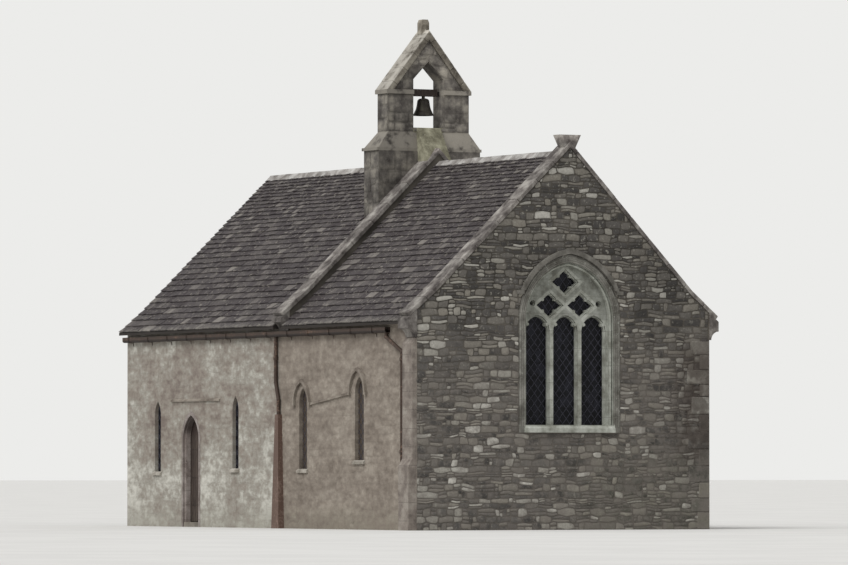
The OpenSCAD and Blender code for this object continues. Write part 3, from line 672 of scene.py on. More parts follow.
def ironFinish(name):
    # dark iron, rusty where a flaky noise is over a level that falls with the amount of rust
    dark, rust, amount = (irons[name][key] for key in ("dark", "rust", "amount"))
    iron = finish(name)
    flake = iron.noise(22, 5, roughness=0.65)
    mask = iron.between(flake + iron.noise(2.5, 3) * 0.6, 1.05 - amount * 0.4, 1.2 - amount * 0.4)
    colour = iron.shade(iron.blend(mask, dark, rust), iron.noise(60, 3), 0.75, 1.25)
    # painted shade: the gutters' undersides, just over the wall's top, are made nearly black
    under = iron.between(iron.axis("Z"), 3.93, 3.9) * iron.between(iron.axis("Z"), 3.862, 3.866)
    colour = iron.blend(under * 0.75, colour, irons["gutterUnderShade"])
    return iron.surface(colour, 0.6 + mask * 0.3, flake, 0.002, Metallic=0.2)


oakLook = dict(
    grain=[(0.32, (42, 35, 32)), (0.5, (60, 51, 46)), (0.68, (82, 71, 63))],
    worn=(104, 95, 84),
    # head: painted shade under the doorway's arch
    head=(46, 33, 30),
)


def oakFinish():
    # upright grain, bleached at the foot, with painted shade under the arch
    oak = finish("darkOak")
    grain = oak.noise(9, 5, stretch=(9, 9, 0.5), roughness=0.6)
    patch = oak.noise(1.8, 3)
    colour = oak.ramp(grain, *oakLook["grain"])
    colour = oak.shade(colour, patch, 0.8, 1.2)
    colour = oak.shade(colour, oak.trait("tone"), 0.85, 1.15)
    worn = oak.between(oak.axis("Z"), 0.55, 0.1) * oak.between(grain, 0.4, 0.6)
    colour = oak.blend(worn * 0.5, colour, oakLook["worn"])
    # painted shade: the leaf darker in the head of the arch
    head = oak.between(oak.axis("Z"), 1.8, 2.0) * oak.between(oak.axis("Z"), 3.0, 2.9)
    colour = oak.blend(head * 0.6, colour, oakLook["head"])
    return oak.surface(colour, 0.75, grain, 0.004)


glassLook = dict(tints=[(0.0, (10, 11, 14)), (0.6, (17, 18, 22)), (1.0, (30, 31, 38))], sideLights=(78, 69, 60))
leadLook = [(0.35, (46, 46, 54)), (0.65, (68, 67, 78))]
bellLook = [(0.36, (36, 33, 31)), (0.5, (52, 48, 43)), (0.64, (74, 72, 62))]
floorLook = dict(flags=[(0.36, (104, 98, 90)), (0.64, (142, 135, 124))], joint=(66, 62, 57))


def glassFinish():
    # small quarries, each with its own tint; the chancel's side lights look brown from outside
    glass = finish("leadedGlass")
    lattice = glass.cells(9, stretch=(1, 1, 0.6), output="Color")
    tint = glass.node("ShaderNodeSeparateColor", sockets={0: lattice}, output=0)
    colour = glass.ramp(tint, *glassLook["tints"])
    brown = glass.between(abs(glass.axis("Y")), 3.15, 3.2) * glass.between(glass.axis("X"), 0.9, 1.1)
    colour = glass.blend(brown * 0.8, colour, glassLook["sideLights"])
    return glass.surface(colour, 0.25, glass.noise(7, 2), 0.01, Specular_IOR_Level=0.12)


def leadFinish():
    # dull grey, a little blue
    lead = finish("lead")
    colour = lead.ramp(lead.noise(18, 4), *leadLook)
    return lead.surface(colour, 0.7, lead.noise(40, 3), 0.001)


def bellFinish():
    # dark patina with upright runs
    bell = finish("bellMetal")
    patina = bell.noise(9, 5, roughness=0.62)
    runs = bell.noise(12, 3, stretch=(1, 1, 0.15))
    colour = bell.ramp(patina * 0.6 + runs * 0.4, *bellLook)
    return bell.surface(colour, 0.5 + patina * 0.25, patina, 0.002, Metallic=0.5)


def floorFinish():
    # flagstones as the cells of a Voronoi pattern, jointed along their edges
    flags = finish("floorFlags")
    edge = flags.cells(1.6, feature="DISTANCE_TO_EDGE")
    joint = flags.between(edge, 0.03, 0.01)
    grain = flags.noise(20, 4)
    colour = flags.ramp(flags.noise(2.2, 4), *floorLook["flags"])
    colour = flags.blend(joint * 0.7, flags.shade(colour, grain, 0.8, 1.2), floorLook["joint"])
    return flags.surface(colour, 0.8, grain * 0.4 - joint, 0.006)


deckLook = dict(
    board=0.16,
    grain=[(0.35, (66, 54, 44)), (0.65, (98, 82, 68))],
    gap=(28, 23, 19),
    # painted shade under the eaves and verge, with weathering
    weathered=(46, 41, 38),
)


def deckFinish():
    # close boards under the slates, weathered and with painted shade, nearly black where they reach past the walls
    # under the eaves and verge
    deck = finish("roofBoards")
    board = deck.axis("Y") % deckLook["board"]
    gap = deck.between(abs(board - deckLook["board"] / 2), 0.074, 0.079)
    grain = deck.noise(12, 4, stretch=(0.3, 6, 6))
    colour = deck.ramp(grain, *deckLook["grain"])
    colour = deck.blend(gap * 0.8, colour, deckLook["gap"])
    # painted shade and weathering: the boards past the walls darkened nearly to black
    for outside in (deck.between(abs(deck.axis("Y")), 3.0, 3.2), deck.between(deck.axis("X"), -6.49, -6.505)):
        colour = deck.blend(outside, colour, deckLook["weathered"])
    return deck.surface(colour, 0.85, grain * 0.3 - gap, 0.006)


limewash = limewashFinish()
rubble = rubbleFinish()
slateStone = slateFinish()
darkOak = oakFinish()
leadedGlass = glassFinish()
lead = leadFinish()
bellMetal = bellFinish()
stones = {name: dressedFinish(name) for name in dressed}
paintedIron = ironFinish("rustyIron")
casingIron = ironFinish("redCasing")
blackIron = ironFinish("darkIron")
limeBacking = wallCoreFinish("limeBacking", limeColour)
mortarBacking = wallCoreFinish("mortarBacking", rubbleMortar)
boards = deckFinish()

# what each solid is covered with
covers = {
    limeBacking: [
        "nave_south_wall_west", "nave_south_wall_east", "nave_wall_over_door", "nave_north_wall",
        "chancel_south_wall", "chancel_north_wall",
    ],
    mortarBacking: [
        "west_gable_wall", "east_gable_wall", "cross_wall_over_arch",
        "chancel_arch_south_pier", "chancel_arch_north_pier",
    ],
    boards: ["nave_roof_south", "nave_roof_north", "chancel_roof_south", "chancel_roof_north"],
    floorFinish(): ["stone_floor"],
    stones["ridge"]: ["ridge_stones"],
    stones["coping"]: ["east_gable_coping", "middle_gable_coping", "gable_kneelers", "gable_cross_stump"],
    stones["window"]: ["east_window_surround", "east_window_tracery"],
    stones["surround"]: ["east_window_hood"],
    stones["trim"]: ["hood_moulds", "nave_string_course"],
    stones["sill"]: ["lancet_sills"],
    stones["pilaster"]: ["corner_pilaster"],
    stones["doorway"]: ["doorway_surround"],
    stones["belfry"]: ["bellcote_base", "bellcote_piers", "bellcote_head"],
    stones["ledge"]: ["bellcote_sill"],
    stones["crest"]: ["bellcote_coping", "bellcote_finial"],
    leadedGlass: ["east_window_glass", "lancet_glass"],
    paintedIron: ["gutters", "downpipes"],
    casingIron: ["junction_pipe_casing"],
    blackIron: ["door_ironwork", "door_pintles", "bell_bearings", "bell_clapper"],
    darkOak: ["door_leaf", "bell_headstock"],
    bellMetal: ["bell"],
}
for cover, names in covers.items():
    for name in names:
        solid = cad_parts[name]
        solid.data.materials.clear()
        solid.data.materials.append(cover)
print("finishes made")


# Slates: diminishing courses from the eave to the ridge

slating = dict(
    gauge=(0.20, 0.095), width=((0.16, 0.40), (0.11, 0.25)), lap=1.35, thick=0.020, lift=0.034, ragged=0.014,
    gap=0.003, bed=0.003, tilt=0.004, eaveInset=0.03, verge=0.002, baseOverlap=0.035, ridgeRoom=0.08,
    naveEast=0.65, chancelSpan=(1.06, 6.10), seed=11,
)


def slatesOn(knots, spans, random):
    # a slate is a 3 x 3 lattice: x over its width, reach from tail to head along the slope, and
    # height = lift (1 - v) + bed over the deck, v from 0 at the tail to 1 at the head
    total = pathLength(knots)
    covered = total - slating["ridgeRoom"]
    first, last = slating["gauge"]
    count = int(round(covered / ((first + last) / 2)))
    gauges = np.linspace(first, last, count)
    gauges *= covered / gauges.sum()
    tails = np.cumsum(gauges) - gauges
    left, right, tail, gauge = [], [], [], []
    for k in range(count):
        share = k / count
        least, most = (a + (b - a) * share for a, b in zip(*slating["width"]))
        y = follow(knots, np.array([tails[k] + gauges[k]]))[0][0, 0]
        west, east = spans(y)
        widths = random.uniform(least, most, 80)
        cuts = west + np.cumsum(widths) * (east - west) / max(east - west, 1e-6)
        cuts = cuts[cuts < east - least * 0.6]
        edges = np.concatenate([[west], cuts, [east]])
        left.append(edges[:-1])
        right.append(edges[1:])
        tail.append(np.full(len(edges) - 1, tails[k]))
        gauge.append(np.full(len(edges) - 1, gauges[k]))
    left, right, tail, gauge = map(np.concatenate, (left, right, tail, gauge))
    n = len(left)
    u = np.array([0, 0.5, 1])[None, :, None]
    v = np.array([0, 0.5, 1])[None, None, :]
    gap = slating["gap"]
    x = (left + gap)[:, None, None] + (right - left - 2 * gap)[:, None, None] * u + 0 * v
    ragged = random.uniform(-slating["ragged"], slating["ragged"], (n, 3, 1)) * (1 - v)
    reach = tail[:, None, None] + (gauge * slating["lap"])[:, None, None] * v + ragged + 0 * u
    reach = np.clip(reach, 0.0, total - 0.005)
    lift = slating["lift"] * random.uniform(0.8, 1.15, n)[:, None, None]
    tilt = random.uniform(-slating["tilt"], slating["tilt"], n)[:, None, None] * (u - 0.5) * 2
    height = lift * (1 - v) + tilt * (1 - v) + slating["bed"]
    x, reach, height = np.broadcast_arrays(x, reach, height)
    place, normal = follow(knots, reach)
    front = np.concatenate([x[..., None], place + normal * height[..., None]], -1)
    rear = np.concatenate([x[..., None], place + normal * (height - slating["thick"])[..., None]], -1)
    return slabs(front, borderOf(rear), {"tone": random.uniform(0, 1, n)})


def slateRoofs():
    # each slope runs from just inside its eave over the bend to the ridge
    random = np.random.default_rng(slating["seed"])
    slopes = []
    for eave, bend in ((0, 1), (4, 3)):
        inset = slating["eaveInset"] * (roofKnots[bend] - roofKnots[eave]) / roof["run"]
        slopes.append(np.stack([roofKnots[eave] + inset, roofKnots[bend], roofKnots[2]]))
    baseLow, baseHigh = box("bellcote_base")
    baseSouth, baseNorth = baseLow[1] + slating["baseOverlap"], baseHigh[1] - slating["baseOverlap"]
    verge = box("nave_roof_south")[0][0] + slating["verge"]

    def naveSpan(y):
        # past the bellcote's base the slates stop at its west face
        return verge, (0.0 if baseSouth < y < baseNorth else slating["naveEast"])

    for name, spans in (("naveSlates", naveSpan), ("chancelSlates", lambda y: slating["chancelSpan"])):
        piece(name, [slatesOn(slope, spans, random) for slope in slopes], slateStone, sharp=30)


slateRoofs()


# Copings and ridge: dressed stones end to end along a bent line

copings = dict(
    thick=0.079, edge=0.012, chamfer=0.007, vary=0.12, spread=0.2, seed=5,
    gable=dict(length=0.62, gap=0.007, wander=0.004, inset=0.004),
    bellcote=dict(length=0.40, gap=0.006, wander=0.003, inset=0.003),
    rises=dict(east_gable_coping=0.19, middle_gable_coping=0.30), bellcoteUpright=0.2095,
)


def stonesAlong(knots, thick, low, high, kind, random):
    # a stone is a tube of five rings on the line; the section's points are (x, depth), where depth
    # runs in from the top along the line's normal, and the end rings draw in by a chamfer
    sizes, edge, chamfer = copings[kind], copings["edge"], copings["chamfer"]
    west, east = low[0] + sizes["inset"], high[0] - sizes["inset"]
    section = np.array([
        (west, edge), (west + edge, 0), (east - edge, 0), (east, edge), (east, thick), (west, thick),
    ])
    length, gap, wander = sizes["length"], sizes["gap"], sizes["wander"]
    vary, spread = copings["vary"], copings["spread"]
    total = pathLength(knots)
    count = 2 * int(round(total / length / 2)) + 1  # odd, so that one stone rides over the top
    cuts = np.linspace(0, total, count + 1)
    cuts[1:-1] += random.uniform(-vary, vary, count - 1) * length
    cuts[1:-1] += np.where(cuts[1:-1] < total / 2, -spread, spread) * length
    bends = np.cumsum(np.hypot(*np.diff(knots, axis=0).T))[:-1]
    start, end = cuts[:-1] + gap / 2, cuts[1:] - gap / 2
    middle = (start + end) / 2
    for bend in bends:
        middle = np.where((start + 0.02 < bend) & (bend < end - 0.02), bend, middle)
    reach = np.stack([start, start + chamfer, middle, end - chamfer, end], -1)
    place, normal = follow(knots, reach)
    centre = section.mean(0)
    draw = np.array([1, 0, 0, 0, 1])[None, :, None, None]
    size = np.abs(section - centre).max(0)
    rings = section[None, None] - draw * chamfer * (section - centre) / size
    shift = random.uniform(-wander, wander, (len(start), 1, 1, 2)) * [1, 0.8]
    rings = rings + shift
    depth = np.maximum(rings[..., 1:], 0.0)
    line = place[:, :, None] - normal[:, :, None] * depth
    return tubes(np.concatenate([rings[..., :1], line], -1), {"tone": random.uniform(0, 1, len(start))})


def copingStones():
    # the gables' lines are the roof's own, raised; the bellcote's runs up to its apex and down
    random = np.random.default_rng(copings["seed"])
    parts = [
        stonesAlong(roofKnots + [0, rise], copings["thick"], *box(node), "gable", random)
        for node, rise in copings["rises"].items()
    ]
    piece("copingStones", parts, stones["coping"],
          standsFor=("east_gable_coping", "middle_gable_coping"))
    low, high = box("bellcote_coping")
    knots = np.array([[low[1], low[2]], [ridgeNorth, high[2]], [high[1], low[2]]])
    pitch = (high[2] - low[2]) / (ridgeNorth - low[1])
    thick = copings["bellcoteUpright"] / math.hypot(1, pitch)
    parts = [stonesAlong(knots, thick, low, high, "bellcote", random)]
    piece("bellcoteCopingStones", parts, stones["crest"], standsFor=("bellcote_coping",))


copingStones()

ridging = dict(
    half=0.13, crest=0.03, length=0.46, gap=0.008, chamfer=(0.008, 0.006), vary=0.04, sink=0.006, shift=0.004,
    chancelWest=1.08, seed=7,
)


def ridgeStones():
    # a saddle section (y, z) carried along x; every stone sits a little differently
    random = np.random.default_rng(ridging["seed"])
    low, high = box("ridge_stones")
    half, crest = ridging["half"], ridging["crest"]
    section = np.array([
        (-half, -half * 0.96 - 0.006), (-crest, -crest * 0.9), (-crest * 0.4, -0.010), (crest * 0.4, -0.010),
        (crest, -crest * 0.95), (half, -half * 1.04 - 0.004), (half - 0.03, -half * 1.04 - 0.036), (0, -0.06),
        (-half + 0.03, -half * 0.96 - 0.038),
    ])
    parts = []
    inward, draw = ridging["chamfer"]
    for west, east in ((low[0], 0.0), (ridging["chancelWest"], high[0])):
        count = int(round((east - west) / ridging["length"]))
        cuts = np.linspace(west, east, count + 1)
        cuts[1:-1] += random.uniform(-ridging["vary"], ridging["vary"], count - 1)
        start, end = cuts[:-1] + ridging["gap"] / 2, cuts[1:] - ridging["gap"] / 2
        stations = np.stack([start, start + inward, end - inward, end], -1)
        centre = np.array([0, -0.08])
        pull = (section - centre) / np.abs(section - centre).max(0)
        rings = section[None, None] - np.array([draw, 0, 0, draw])[None, :, None, None] * pull
        rings = rings + random.uniform(-1, 0, (count, 1, 1, 2)) * [0.0, ridging["sink"]]
        rings = rings + random.uniform(-1, 1, (count, 1, 1, 2)) * [ridging["shift"], 0.0]
        xs = np.broadcast_to(stations[:, :, None, None], (count, 4, len(section), 1))
        points = np.concatenate([xs, rings + [ridgeNorth, high[2]]], -1)
        parts.append(tubes(points, {"tone": random.uniform(0, 1, count)}))
    piece("ridgeStones", parts, stones["ridge"], standsFor=("ridge_stones",))


ridgeStones()


# Laid stones: courses cut into stones, clipped round openings and under slopes

# a block whole, in two, or in three stones: each from a0 to a1 along and b0 to b1 up
patterns = [
    [(0, 1, 0, 1)],
    [(0, 1, 0, 0.46), (0, 1, 0.46, 1)],
    [(0, 0.56, 0, 1), (0.56, 1, 0, 0.5), (0.56, 1, 0.5, 1)],
    [(0, 0.42, 0, 0.56), (0, 0.42, 0.56, 1), (0.42, 1, 0, 1)],
    [(0, 0.5, 0, 0.58), (0.5, 1, 0, 0.58), (0, 1, 0.58, 1)],
]


def courseCells(wall, random):
    # rows of a0, a1, b0, b1: blocks in courses, each split by one of the patterns
    (left, right), (foot, top) = wall["across"], wall["up"]
    least = wall["course"][0]
    cells = []
    level = foot
    while level < top - 0.01:
        tall = random.uniform(*wall["course"])
        if top - level - tall < least:
            tall = top - level
        cuts = left + np.cumsum(random.uniform(*wall["block"], 90)) - random.uniform(0, wall["block"][1])
        cuts = cuts[(cuts > left + 0.1) & (cuts < right - 0.1)]
        edges = np.concatenate([[left], cuts, [right]])
        start, size = edges[:-1], np.diff(edges)
        which = random.choice(len(patterns), len(size), p=wall["mix"])
        turned = random.random(len(size)) < 0.5
        for number, pattern in enumerate(patterns):
            here = which == number
            for a0, a1, b0, b1 in pattern:
                low = np.where(turned[here], 1 - a1, a0)
                high = np.where(turned[here], 1 - a0, a1)
                cells.append(np.stack([
                    start[here] + size[here] * low, start[here] + size[here] * high,
                    np.full(here.sum(), level + tall * b0), np.full(here.sum(), level + tall * b1),
                ], -1))
        level += tall
    return np.concatenate(cells)


def cutCells(cells, wall):
    # what is left of the cells beside, under and over the openings and under the wall's top: a
    # cell beside an arch starts at the crown over its far edge
    for hole in wall.get("holes", []):
        middle = hole["middle"]
        hit = (cells[:, 1] > middle - hole["half"]) & (cells[:, 0] < middle + hole["half"])
        hit &= (cells[:, 3] > hole["foot"]) & (cells[:, 2] < hole["apex"])
        under, over = cells[hit].copy(), cells[hit].copy()
        under[:, 3] = np.minimum(under[:, 3], hole["foot"])
        over[:, 2] = np.maximum(over[:, 2], hole["foot"])
        reach = halfWidth(hole, over[:, 3])
        left, right = over.copy(), over.copy()
        left[:, 1] = np.minimum(left[:, 1], middle - reach)
        right[:, 0] = np.maximum(right[:, 0], middle + reach)
        for side, far in ((left, middle - left[:, 0]), (right, right[:, 1] - middle)):
            crown = crownHeight(hole, np.maximum(far - wall["least"], 0))
            side[:, 2] = np.where(far < hole["half"] + wall["least"], np.maximum(side[:, 2], crown), side[:, 2])
        cells = np.concatenate([cells[~hit], under, left, right])
    line = np.linspace(*wall["across"], 500)
    clear = wall["top"](line)[None] > cells[:, 2:3] + wall["least"]
    cells = cells[clear.any(1)]
    clear = clear[clear.any(1)]
    cells[:, 0] = np.maximum(cells[:, 0], line[clear.argmax(1)])
    cells[:, 1] = np.minimum(cells[:, 1], line[len(line) - 1 - clear[:, ::-1].argmax(1)])
    big = (cells[:, 1] - cells[:, 0] > 1.3 * wall["least"]) & (cells[:, 3] - cells[:, 2] > wall["least"])
    return cells[big]


def waver(a, b, size, random):
    # a sum of sines over four lengths moves the joints of neighbouring stones together
    moveA, moveB = 0, 0
    for length in (0.35, 0.6, 1.1, 2.3):
        phase = random.uniform(0, 2 * math.pi, 6)
        ka, kb = 2 * math.pi / length, 2 * math.pi / (length * 0.8)
        moveA = moveA + np.sin(ka * a + phase[0]) * np.sin(kb * b + phase[1]) + np.sin(kb * b + phase[2]) * 0.5
        moveB = moveB + np.sin(ka * a + phase[3]) * np.sin(kb * b + phase[4]) + np.sin(ka * a + phase[5]) * 0.5
    return a + moveA * size / 2, b + moveB * size / 2


def drawnBack(row, fixed, loose, limit):
    # fixed + (row - fixed) (limit - fixed) / (loose - fixed): a row of points shrinks towards its
    # fixed end until the loose one meets the limit
    span = loose - fixed
    share = (limit - fixed) / np.where(np.abs(span) < 1e-4, 1e-4, span)
    return fixed + (row - fixed) * np.clip(share, 0.06, 1)


def laidStones(wall, random):
    # a stone is a lattice over its cell, s and t from -1 to 1: corners draw in by round |s t|^3,
    # the face stands proud inside and falls off towards the rim
    cells = cutCells(courseCells(wall, random), wall)
    n = len(cells)
    s = np.array([-1, -0.8, 0, 0.8, 1])[None, :, None]
    t = np.array([-1, -0.62, 0.62, 1])[None, None, :]
    halfA = ((cells[:, 1] - cells[:, 0]) / 2 - wall["joint"] / 2)[:, None, None]
    halfB = ((cells[:, 3] - cells[:, 2]) / 2 - wall["joint"] / 2)[:, None, None]
    rounding = wall["round"] * random.uniform(0.4, 1.3, (n, 5, 4))
    rounding = np.minimum(rounding, np.minimum(0.18 * halfA, 0.35 * halfB))
    a = (cells[:, 0] + cells[:, 1])[:, None, None] / 2 + s * (halfA - rounding * np.abs(t) ** 3)
    b = (cells[:, 2] + cells[:, 3])[:, None, None] / 2 + t * (halfB - rounding * np.abs(s) ** 3)
    rough = np.minimum(wall["rough"], 0.08 * np.minimum(halfA, halfB))
    a = a + random.uniform(-1, 1, a.shape) * rough
    b = b + random.uniform(-1, 1, b.shape) * rough
    a, b = waver(a, b, wall["waver"], random)
    a = np.clip(a, *wall["across"])
    for hole in wall.get("holes", []):
        middle, edge = hole["middle"], wall["joint"] / 2
        reach = halfWidth(hole, b) + edge
        inside = (np.abs(a - middle) < reach) & (b > hole["foot"] - edge) & (b < hole["apex"] + edge)
        centreA = a.mean((1, 2), keepdims=True) - middle
        centreB = b.mean((1, 2), keepdims=True)
        under = inside & (centreB < hole["foot"])
        over = inside & (centreB > hole["spring"]) & (np.abs(centreA) < hole["half"])
        beside = (inside & ~under & ~over).any(1, keepdims=True)
        wide = reach.max(1, keepdims=True)
        a = np.where(beside & (centreA < 0), drawnBack(a, a[:, :1], a[:, -1:], middle - wide), a)
        a = np.where(beside & (centreA > 0), drawnBack(a, a[:, -1:], a[:, :1], middle + wide), a)
        crown = crownHeight(hole, a - middle).max(2, keepdims=True) + edge
        b = np.where(over.any(2, keepdims=True), drawnBack(b, b[:, :, -1:], b[:, :, :1], crown), b)
        inside = (np.abs(a - middle) < reach) & (b > hole["foot"] - edge) & (b < hole["apex"] + edge)
        a = np.where(inside & ~under & ~over, middle + np.sign(centreA) * reach, a)
        b = np.where(inside & over, np.maximum(b, crownHeight(hole, a - middle) + edge), b)
        b = np.where(inside & under, hole["foot"] - edge, b)
    ceiling = (wall["top"](a) - 0.004).min(2, keepdims=True)
    b = drawnBack(b, b[:, :, :1], b[:, :, -1:], ceiling)
    b = np.clip(b, wall["up"][0], wall["top"](a) - 0.004)
    inner = (np.abs(s) < 0.9) & (np.abs(t) < 0.9)
    proud = random.uniform(*wall["proud"], (n, 1, 1))
    lean = random.uniform(-0.25, 0.25, (n, 1, 1)) * s + random.uniform(-0.25, 0.25, (n, 1, 1)) * t
    height = proud * np.where(inner, 1 + lean, 0.42 + 0.3 * lean)
    height = np.clip(height + random.uniform(-1, 1, height.shape) * 0.0006, 0.0005, wall["proud"][1])
    a, b, height = np.broadcast_arrays(a, b, height)
    front = wall["place"](a, b, height)
    back = borderOf(wall["place"](a, b, np.full(a.shape, -0.012)))
    rim = np.concatenate([np.where(inner, 0.0, 1.0).repeat(n, 0).reshape(n, -1), np.ones(back.shape[:2])], 1)
    tone = np.repeat(random.uniform(0, 1, n), rim.shape[1]).reshape(n, -1)
    return slabs(front, back, {"tone": tone, "rim": rim})


def onPlane(axis, at, outward):
    # wall coordinates (a along, b up, h out of the wall) to x, y, z
    def place(a, b, h):
        out = at + outward * h
        return np.stack([out, a, b] if axis == "x" else [a, out, b], -1)
    return place


randomRubble = dict(
    course=(0.085, 0.16), block=(0.15, 0.42), mix=(0.46, 0.24, 0.12, 0.12, 0.06), joint=0.010,
    round=0.016, rough=0.004, waver=0.020, proud=(0.003, 0.013), least=0.03,
)
limeRubble = dict(
    randomRubble, course=(0.2, 0.34), block=(0.3, 0.75), round=0.03, waver=0.018, rough=0.003,
    proud=(0.0015, 0.005),
)
squared = dict(
    randomRubble, course=(0.19, 0.28), block=(0.26, 0.52), mix=(0.8, 0.08, 0.04, 0.04, 0.04), joint=0.013,
    round=0.012, rough=0.002, waver=0.004, proud=(0.004, 0.014), least=0.05,
)


def face(kind, plane, across, up, top=None, **more):
    # one wall to lay: kind of stones, plane (axis, at, outward), extents, and its top's line
    flat = top or (lambda a: np.full(np.shape(a), up[1]))
    return dict(kind, across=across, up=up, top=flat, place=onPlane(*plane), **more)


gables = dict(corner=0.02, surround=0.20, eastTop=7.6, eastOver=0.075, westTop=7.3, westUnder=0.19, seed=21)


def gableStones():
    # up to a line along the roof's own, over it behind the east coping and under the west verge
    random = np.random.default_rng(gables["seed"])
    surround = dict(grown(eastWindow, gables["surround"]), foot=box("east_window_surround")[0][2])
    south, north = southFace + gables["corner"], northFace - gables["corner"]
    east = face(randomRubble, ("x", eastFace, 1), (southFace, north), (0.0, gables["eastTop"]),
                lambda y: roofHeight(y) + gables["eastOver"], holes=[surround])
    west = face(randomRubble, ("x", westFace, -1), (south, north), (0.0, gables["westTop"]),
                lambda y: roofHeight(y) - gables["westUnder"])
    for name, wall in (("eastGableStones", east), ("westGableStones", west)):
        piece(name, [laidStones(wall, random)], rubble)


sideWalls = dict(corner=0.005, pilaster=0.42, top=3.98, seed=22)


def sideStones():
    # the south wall stops at the pilaster and has the doorway; both have the lancets
    random = np.random.default_rng(sideWalls["seed"])
    doorway = doorShape("doorway_surround", 0.0)
    for name, plane, short, holes in (
        ("southWallStones", ("y", southFace, -1), sideWalls["pilaster"], [doorway] + lancets),
        ("northWallStones", ("y", northFace, 1), sideWalls["corner"], lancets),
    ):
        across = (westFace + sideWalls["corner"], eastFace - short)
        wall = face(limeRubble, plane, across, (0.0, sideWalls["top"]), holes=holes)
        piece(name, [laidStones(wall, random)], limewash)


bellcote = dict(
    overhang=0.035, inset=0.003, base=(6.0, 7.695), baseSides=(6.1, 7.695), impost=0.04, pierInset=0.002,
    piers=(8.09, 8.86), reveals=(8.19, 8.86), revealProud=(0.002, 0.004), head=(8.955, 9.97), headPitch=1.262,
    seed=23,
)


def bellcoteStones():
    # the base's four faces, then the piers' and the pointed head's, and the reveals of the opening;
    # the head's line is its top less pitch times the distance from the middle
    random = np.random.default_rng(bellcote["seed"])
    low, high = box("bellcote_base")
    inset, headPitch = bellcote["inset"], bellcote["headPitch"]
    south, north, east = low[1] + bellcote["overhang"], high[1] - bellcote["overhang"], high[0]
    walls = [
        face(squared, ("x", at, outward), (south + inset, north - inset), bellcote["base"])
        for at, outward in ((0.0, -1), (east, 1))
    ]
    walls += [
        face(squared, ("y", at, outward), (inset, east), bellcote["baseSides"])
        for at, outward in ((south, -1), (north, 1))
    ]
    low, high = box("bellcote_piers")
    out = bellcote["impost"]
    low, high = low + [out, out, 0], high - [out, out, 0]
    across = (low[1] + bellcote["pierInset"], high[1] - bellcote["pierInset"])
    headFoot, headTop = bellcote["head"]
    headHalf = (headTop - headFoot) / headPitch
    for at, outward in ((low[0], -1), (high[0], 1)):
        walls.append(face(squared, ("x", at, outward), across, bellcote["piers"], holes=[bellOpening]))
        walls.append(face(squared, ("x", at, outward), (ridgeNorth - headHalf, ridgeNorth + headHalf),
                          bellcote["head"], lambda y: headTop - headPitch * np.abs(y - ridgeNorth),
                          holes=[bellOpening]))
    across = (low[0] + inset, high[0] - inset)
    for at, outward in ((low[1], -1), (high[1], 1)):
        walls.append(face(squared, ("y", at, outward), across, bellcote["piers"]))
    half = bellOpening["half"]
    for at, outward in ((ridgeNorth - half, 1), (ridgeNorth + half, -1)):
        reveal = face(squared, ("y", at, outward), across, bellcote["reveals"])
        walls.append(dict(reveal, proud=bellcote["revealProud"]))
    parts = [laidStones(wall, random) for wall in walls]
    piece("bellcoteStones", parts, stones["belfry"])


gableStones()
sideStones()
bellcoteStones()

quoins = dict(
    tall=(0.24, 0.36), long=0.48, short=0.26, proud=0.018, sunk=0.004, joint=0.010, chamfer=0.012,
    lastBed=3.55, top=3.74, seed=9,
)


def quoinStones():
    # long and short by turns up the three plain corners; limewash hides them on the side walls
    random = np.random.default_rng(quoins["seed"])
    parts = []
    for x, y in ((eastFace, northFace), (westFace, northFace), (westFace, southFace)):
        heights = np.cumsum(random.uniform(*quoins["tall"], 16))
        edges = np.concatenate([[0.0], heights[heights < quoins["lastBed"]], [quoins["top"]]])
        n = len(edges) - 1
        turn = np.arange(n) % 2 == 0
        alongX = np.where(turn, quoins["long"], quoins["short"]) * random.uniform(0.85, 1.1, n)
        alongY = np.where(turn, quoins["short"], quoins["long"]) * random.uniform(0.85, 1.1, n)
        corner, sign = np.array([x, y]), np.sign([x, y])
        out = corner + sign * [quoins["proud"], -quoins["sunk"]] * random.uniform(0.7, 1.0, (n, 2))
        back = corner - sign * np.stack([alongX, alongY], -1)
        low = np.column_stack([np.minimum(out, back), edges[:-1] + quoins["joint"] / 2])
        high = np.column_stack([np.maximum(out, back), edges[1:] - quoins["joint"] / 2])
        parts.append(chamferedBlocks(low, high, quoins["chamfer"], {
            "tone": random.uniform(0.2, 1, n), "rim": np.zeros(n),
        }))
    piece("quoinStones", parts, rubble)


quoinStones()


# East window: rolls on the jambs and arch, and lead in every light

# a roll's step out from the outline, its radius and its X
rolls = dict(
    lines=[(0.022, 0.020, 6.428), (0.078, 0.013, 6.508), (0.118, 0.010, 6.508), (0.160, 0.013, 6.508)],
    sides=8, tone=0.5, below=0.03, tracerySides=6, traceryTone=0.7, traceryBelow=0.02,
)


def roll(line, step, radius, depth, sides, tone):
    # a circle carried along a line of points (y, z) and outward directions: out by
    # step + radius cos t in the wall's plane, and depth + radius sin t in x
    points, outward = line
    turn = np.linspace(0, 2 * math.pi, sides, endpoint=False)
    reach = step + np.cos(turn) * radius
    ring = points[:, None] + outward[:, None] * reach[None, :, None]
    xs = np.broadcast_to(depth + np.sin(turn) * radius, ring.shape[:2])
    return tubes(np.concatenate([xs[..., None], ring], -1)[None], {"tone": np.full(1, tone)})


def windowRolls():
    # along the window's outline, moved out by each step
    foot = eastWindow["foot"] - rolls["below"]
    parts = [
        roll(archPath(grown(eastWindow, step), foot), 0, radius, depth, rolls["sides"], rolls["tone"])
        for step, radius, depth in rolls["lines"]
    ]
    piece("windowRolls", parts, stones["window"])


def lozengePath(middle, height, wide, tall):
    # a closed run of corners and mitred outward directions: moving every side out by 1 moves the
    # side corners by diagonal / tall and the top and bottom ones by diagonal / wide
    diagonal = math.hypot(wide, tall)
    corners = np.array([[wide, 0], [0, tall], [-wide, 0], [0, -tall], [wide, 0]])
    outward = np.sign(corners) * [diagonal / tall, diagonal / wide]
    return corners + [middle, height], outward


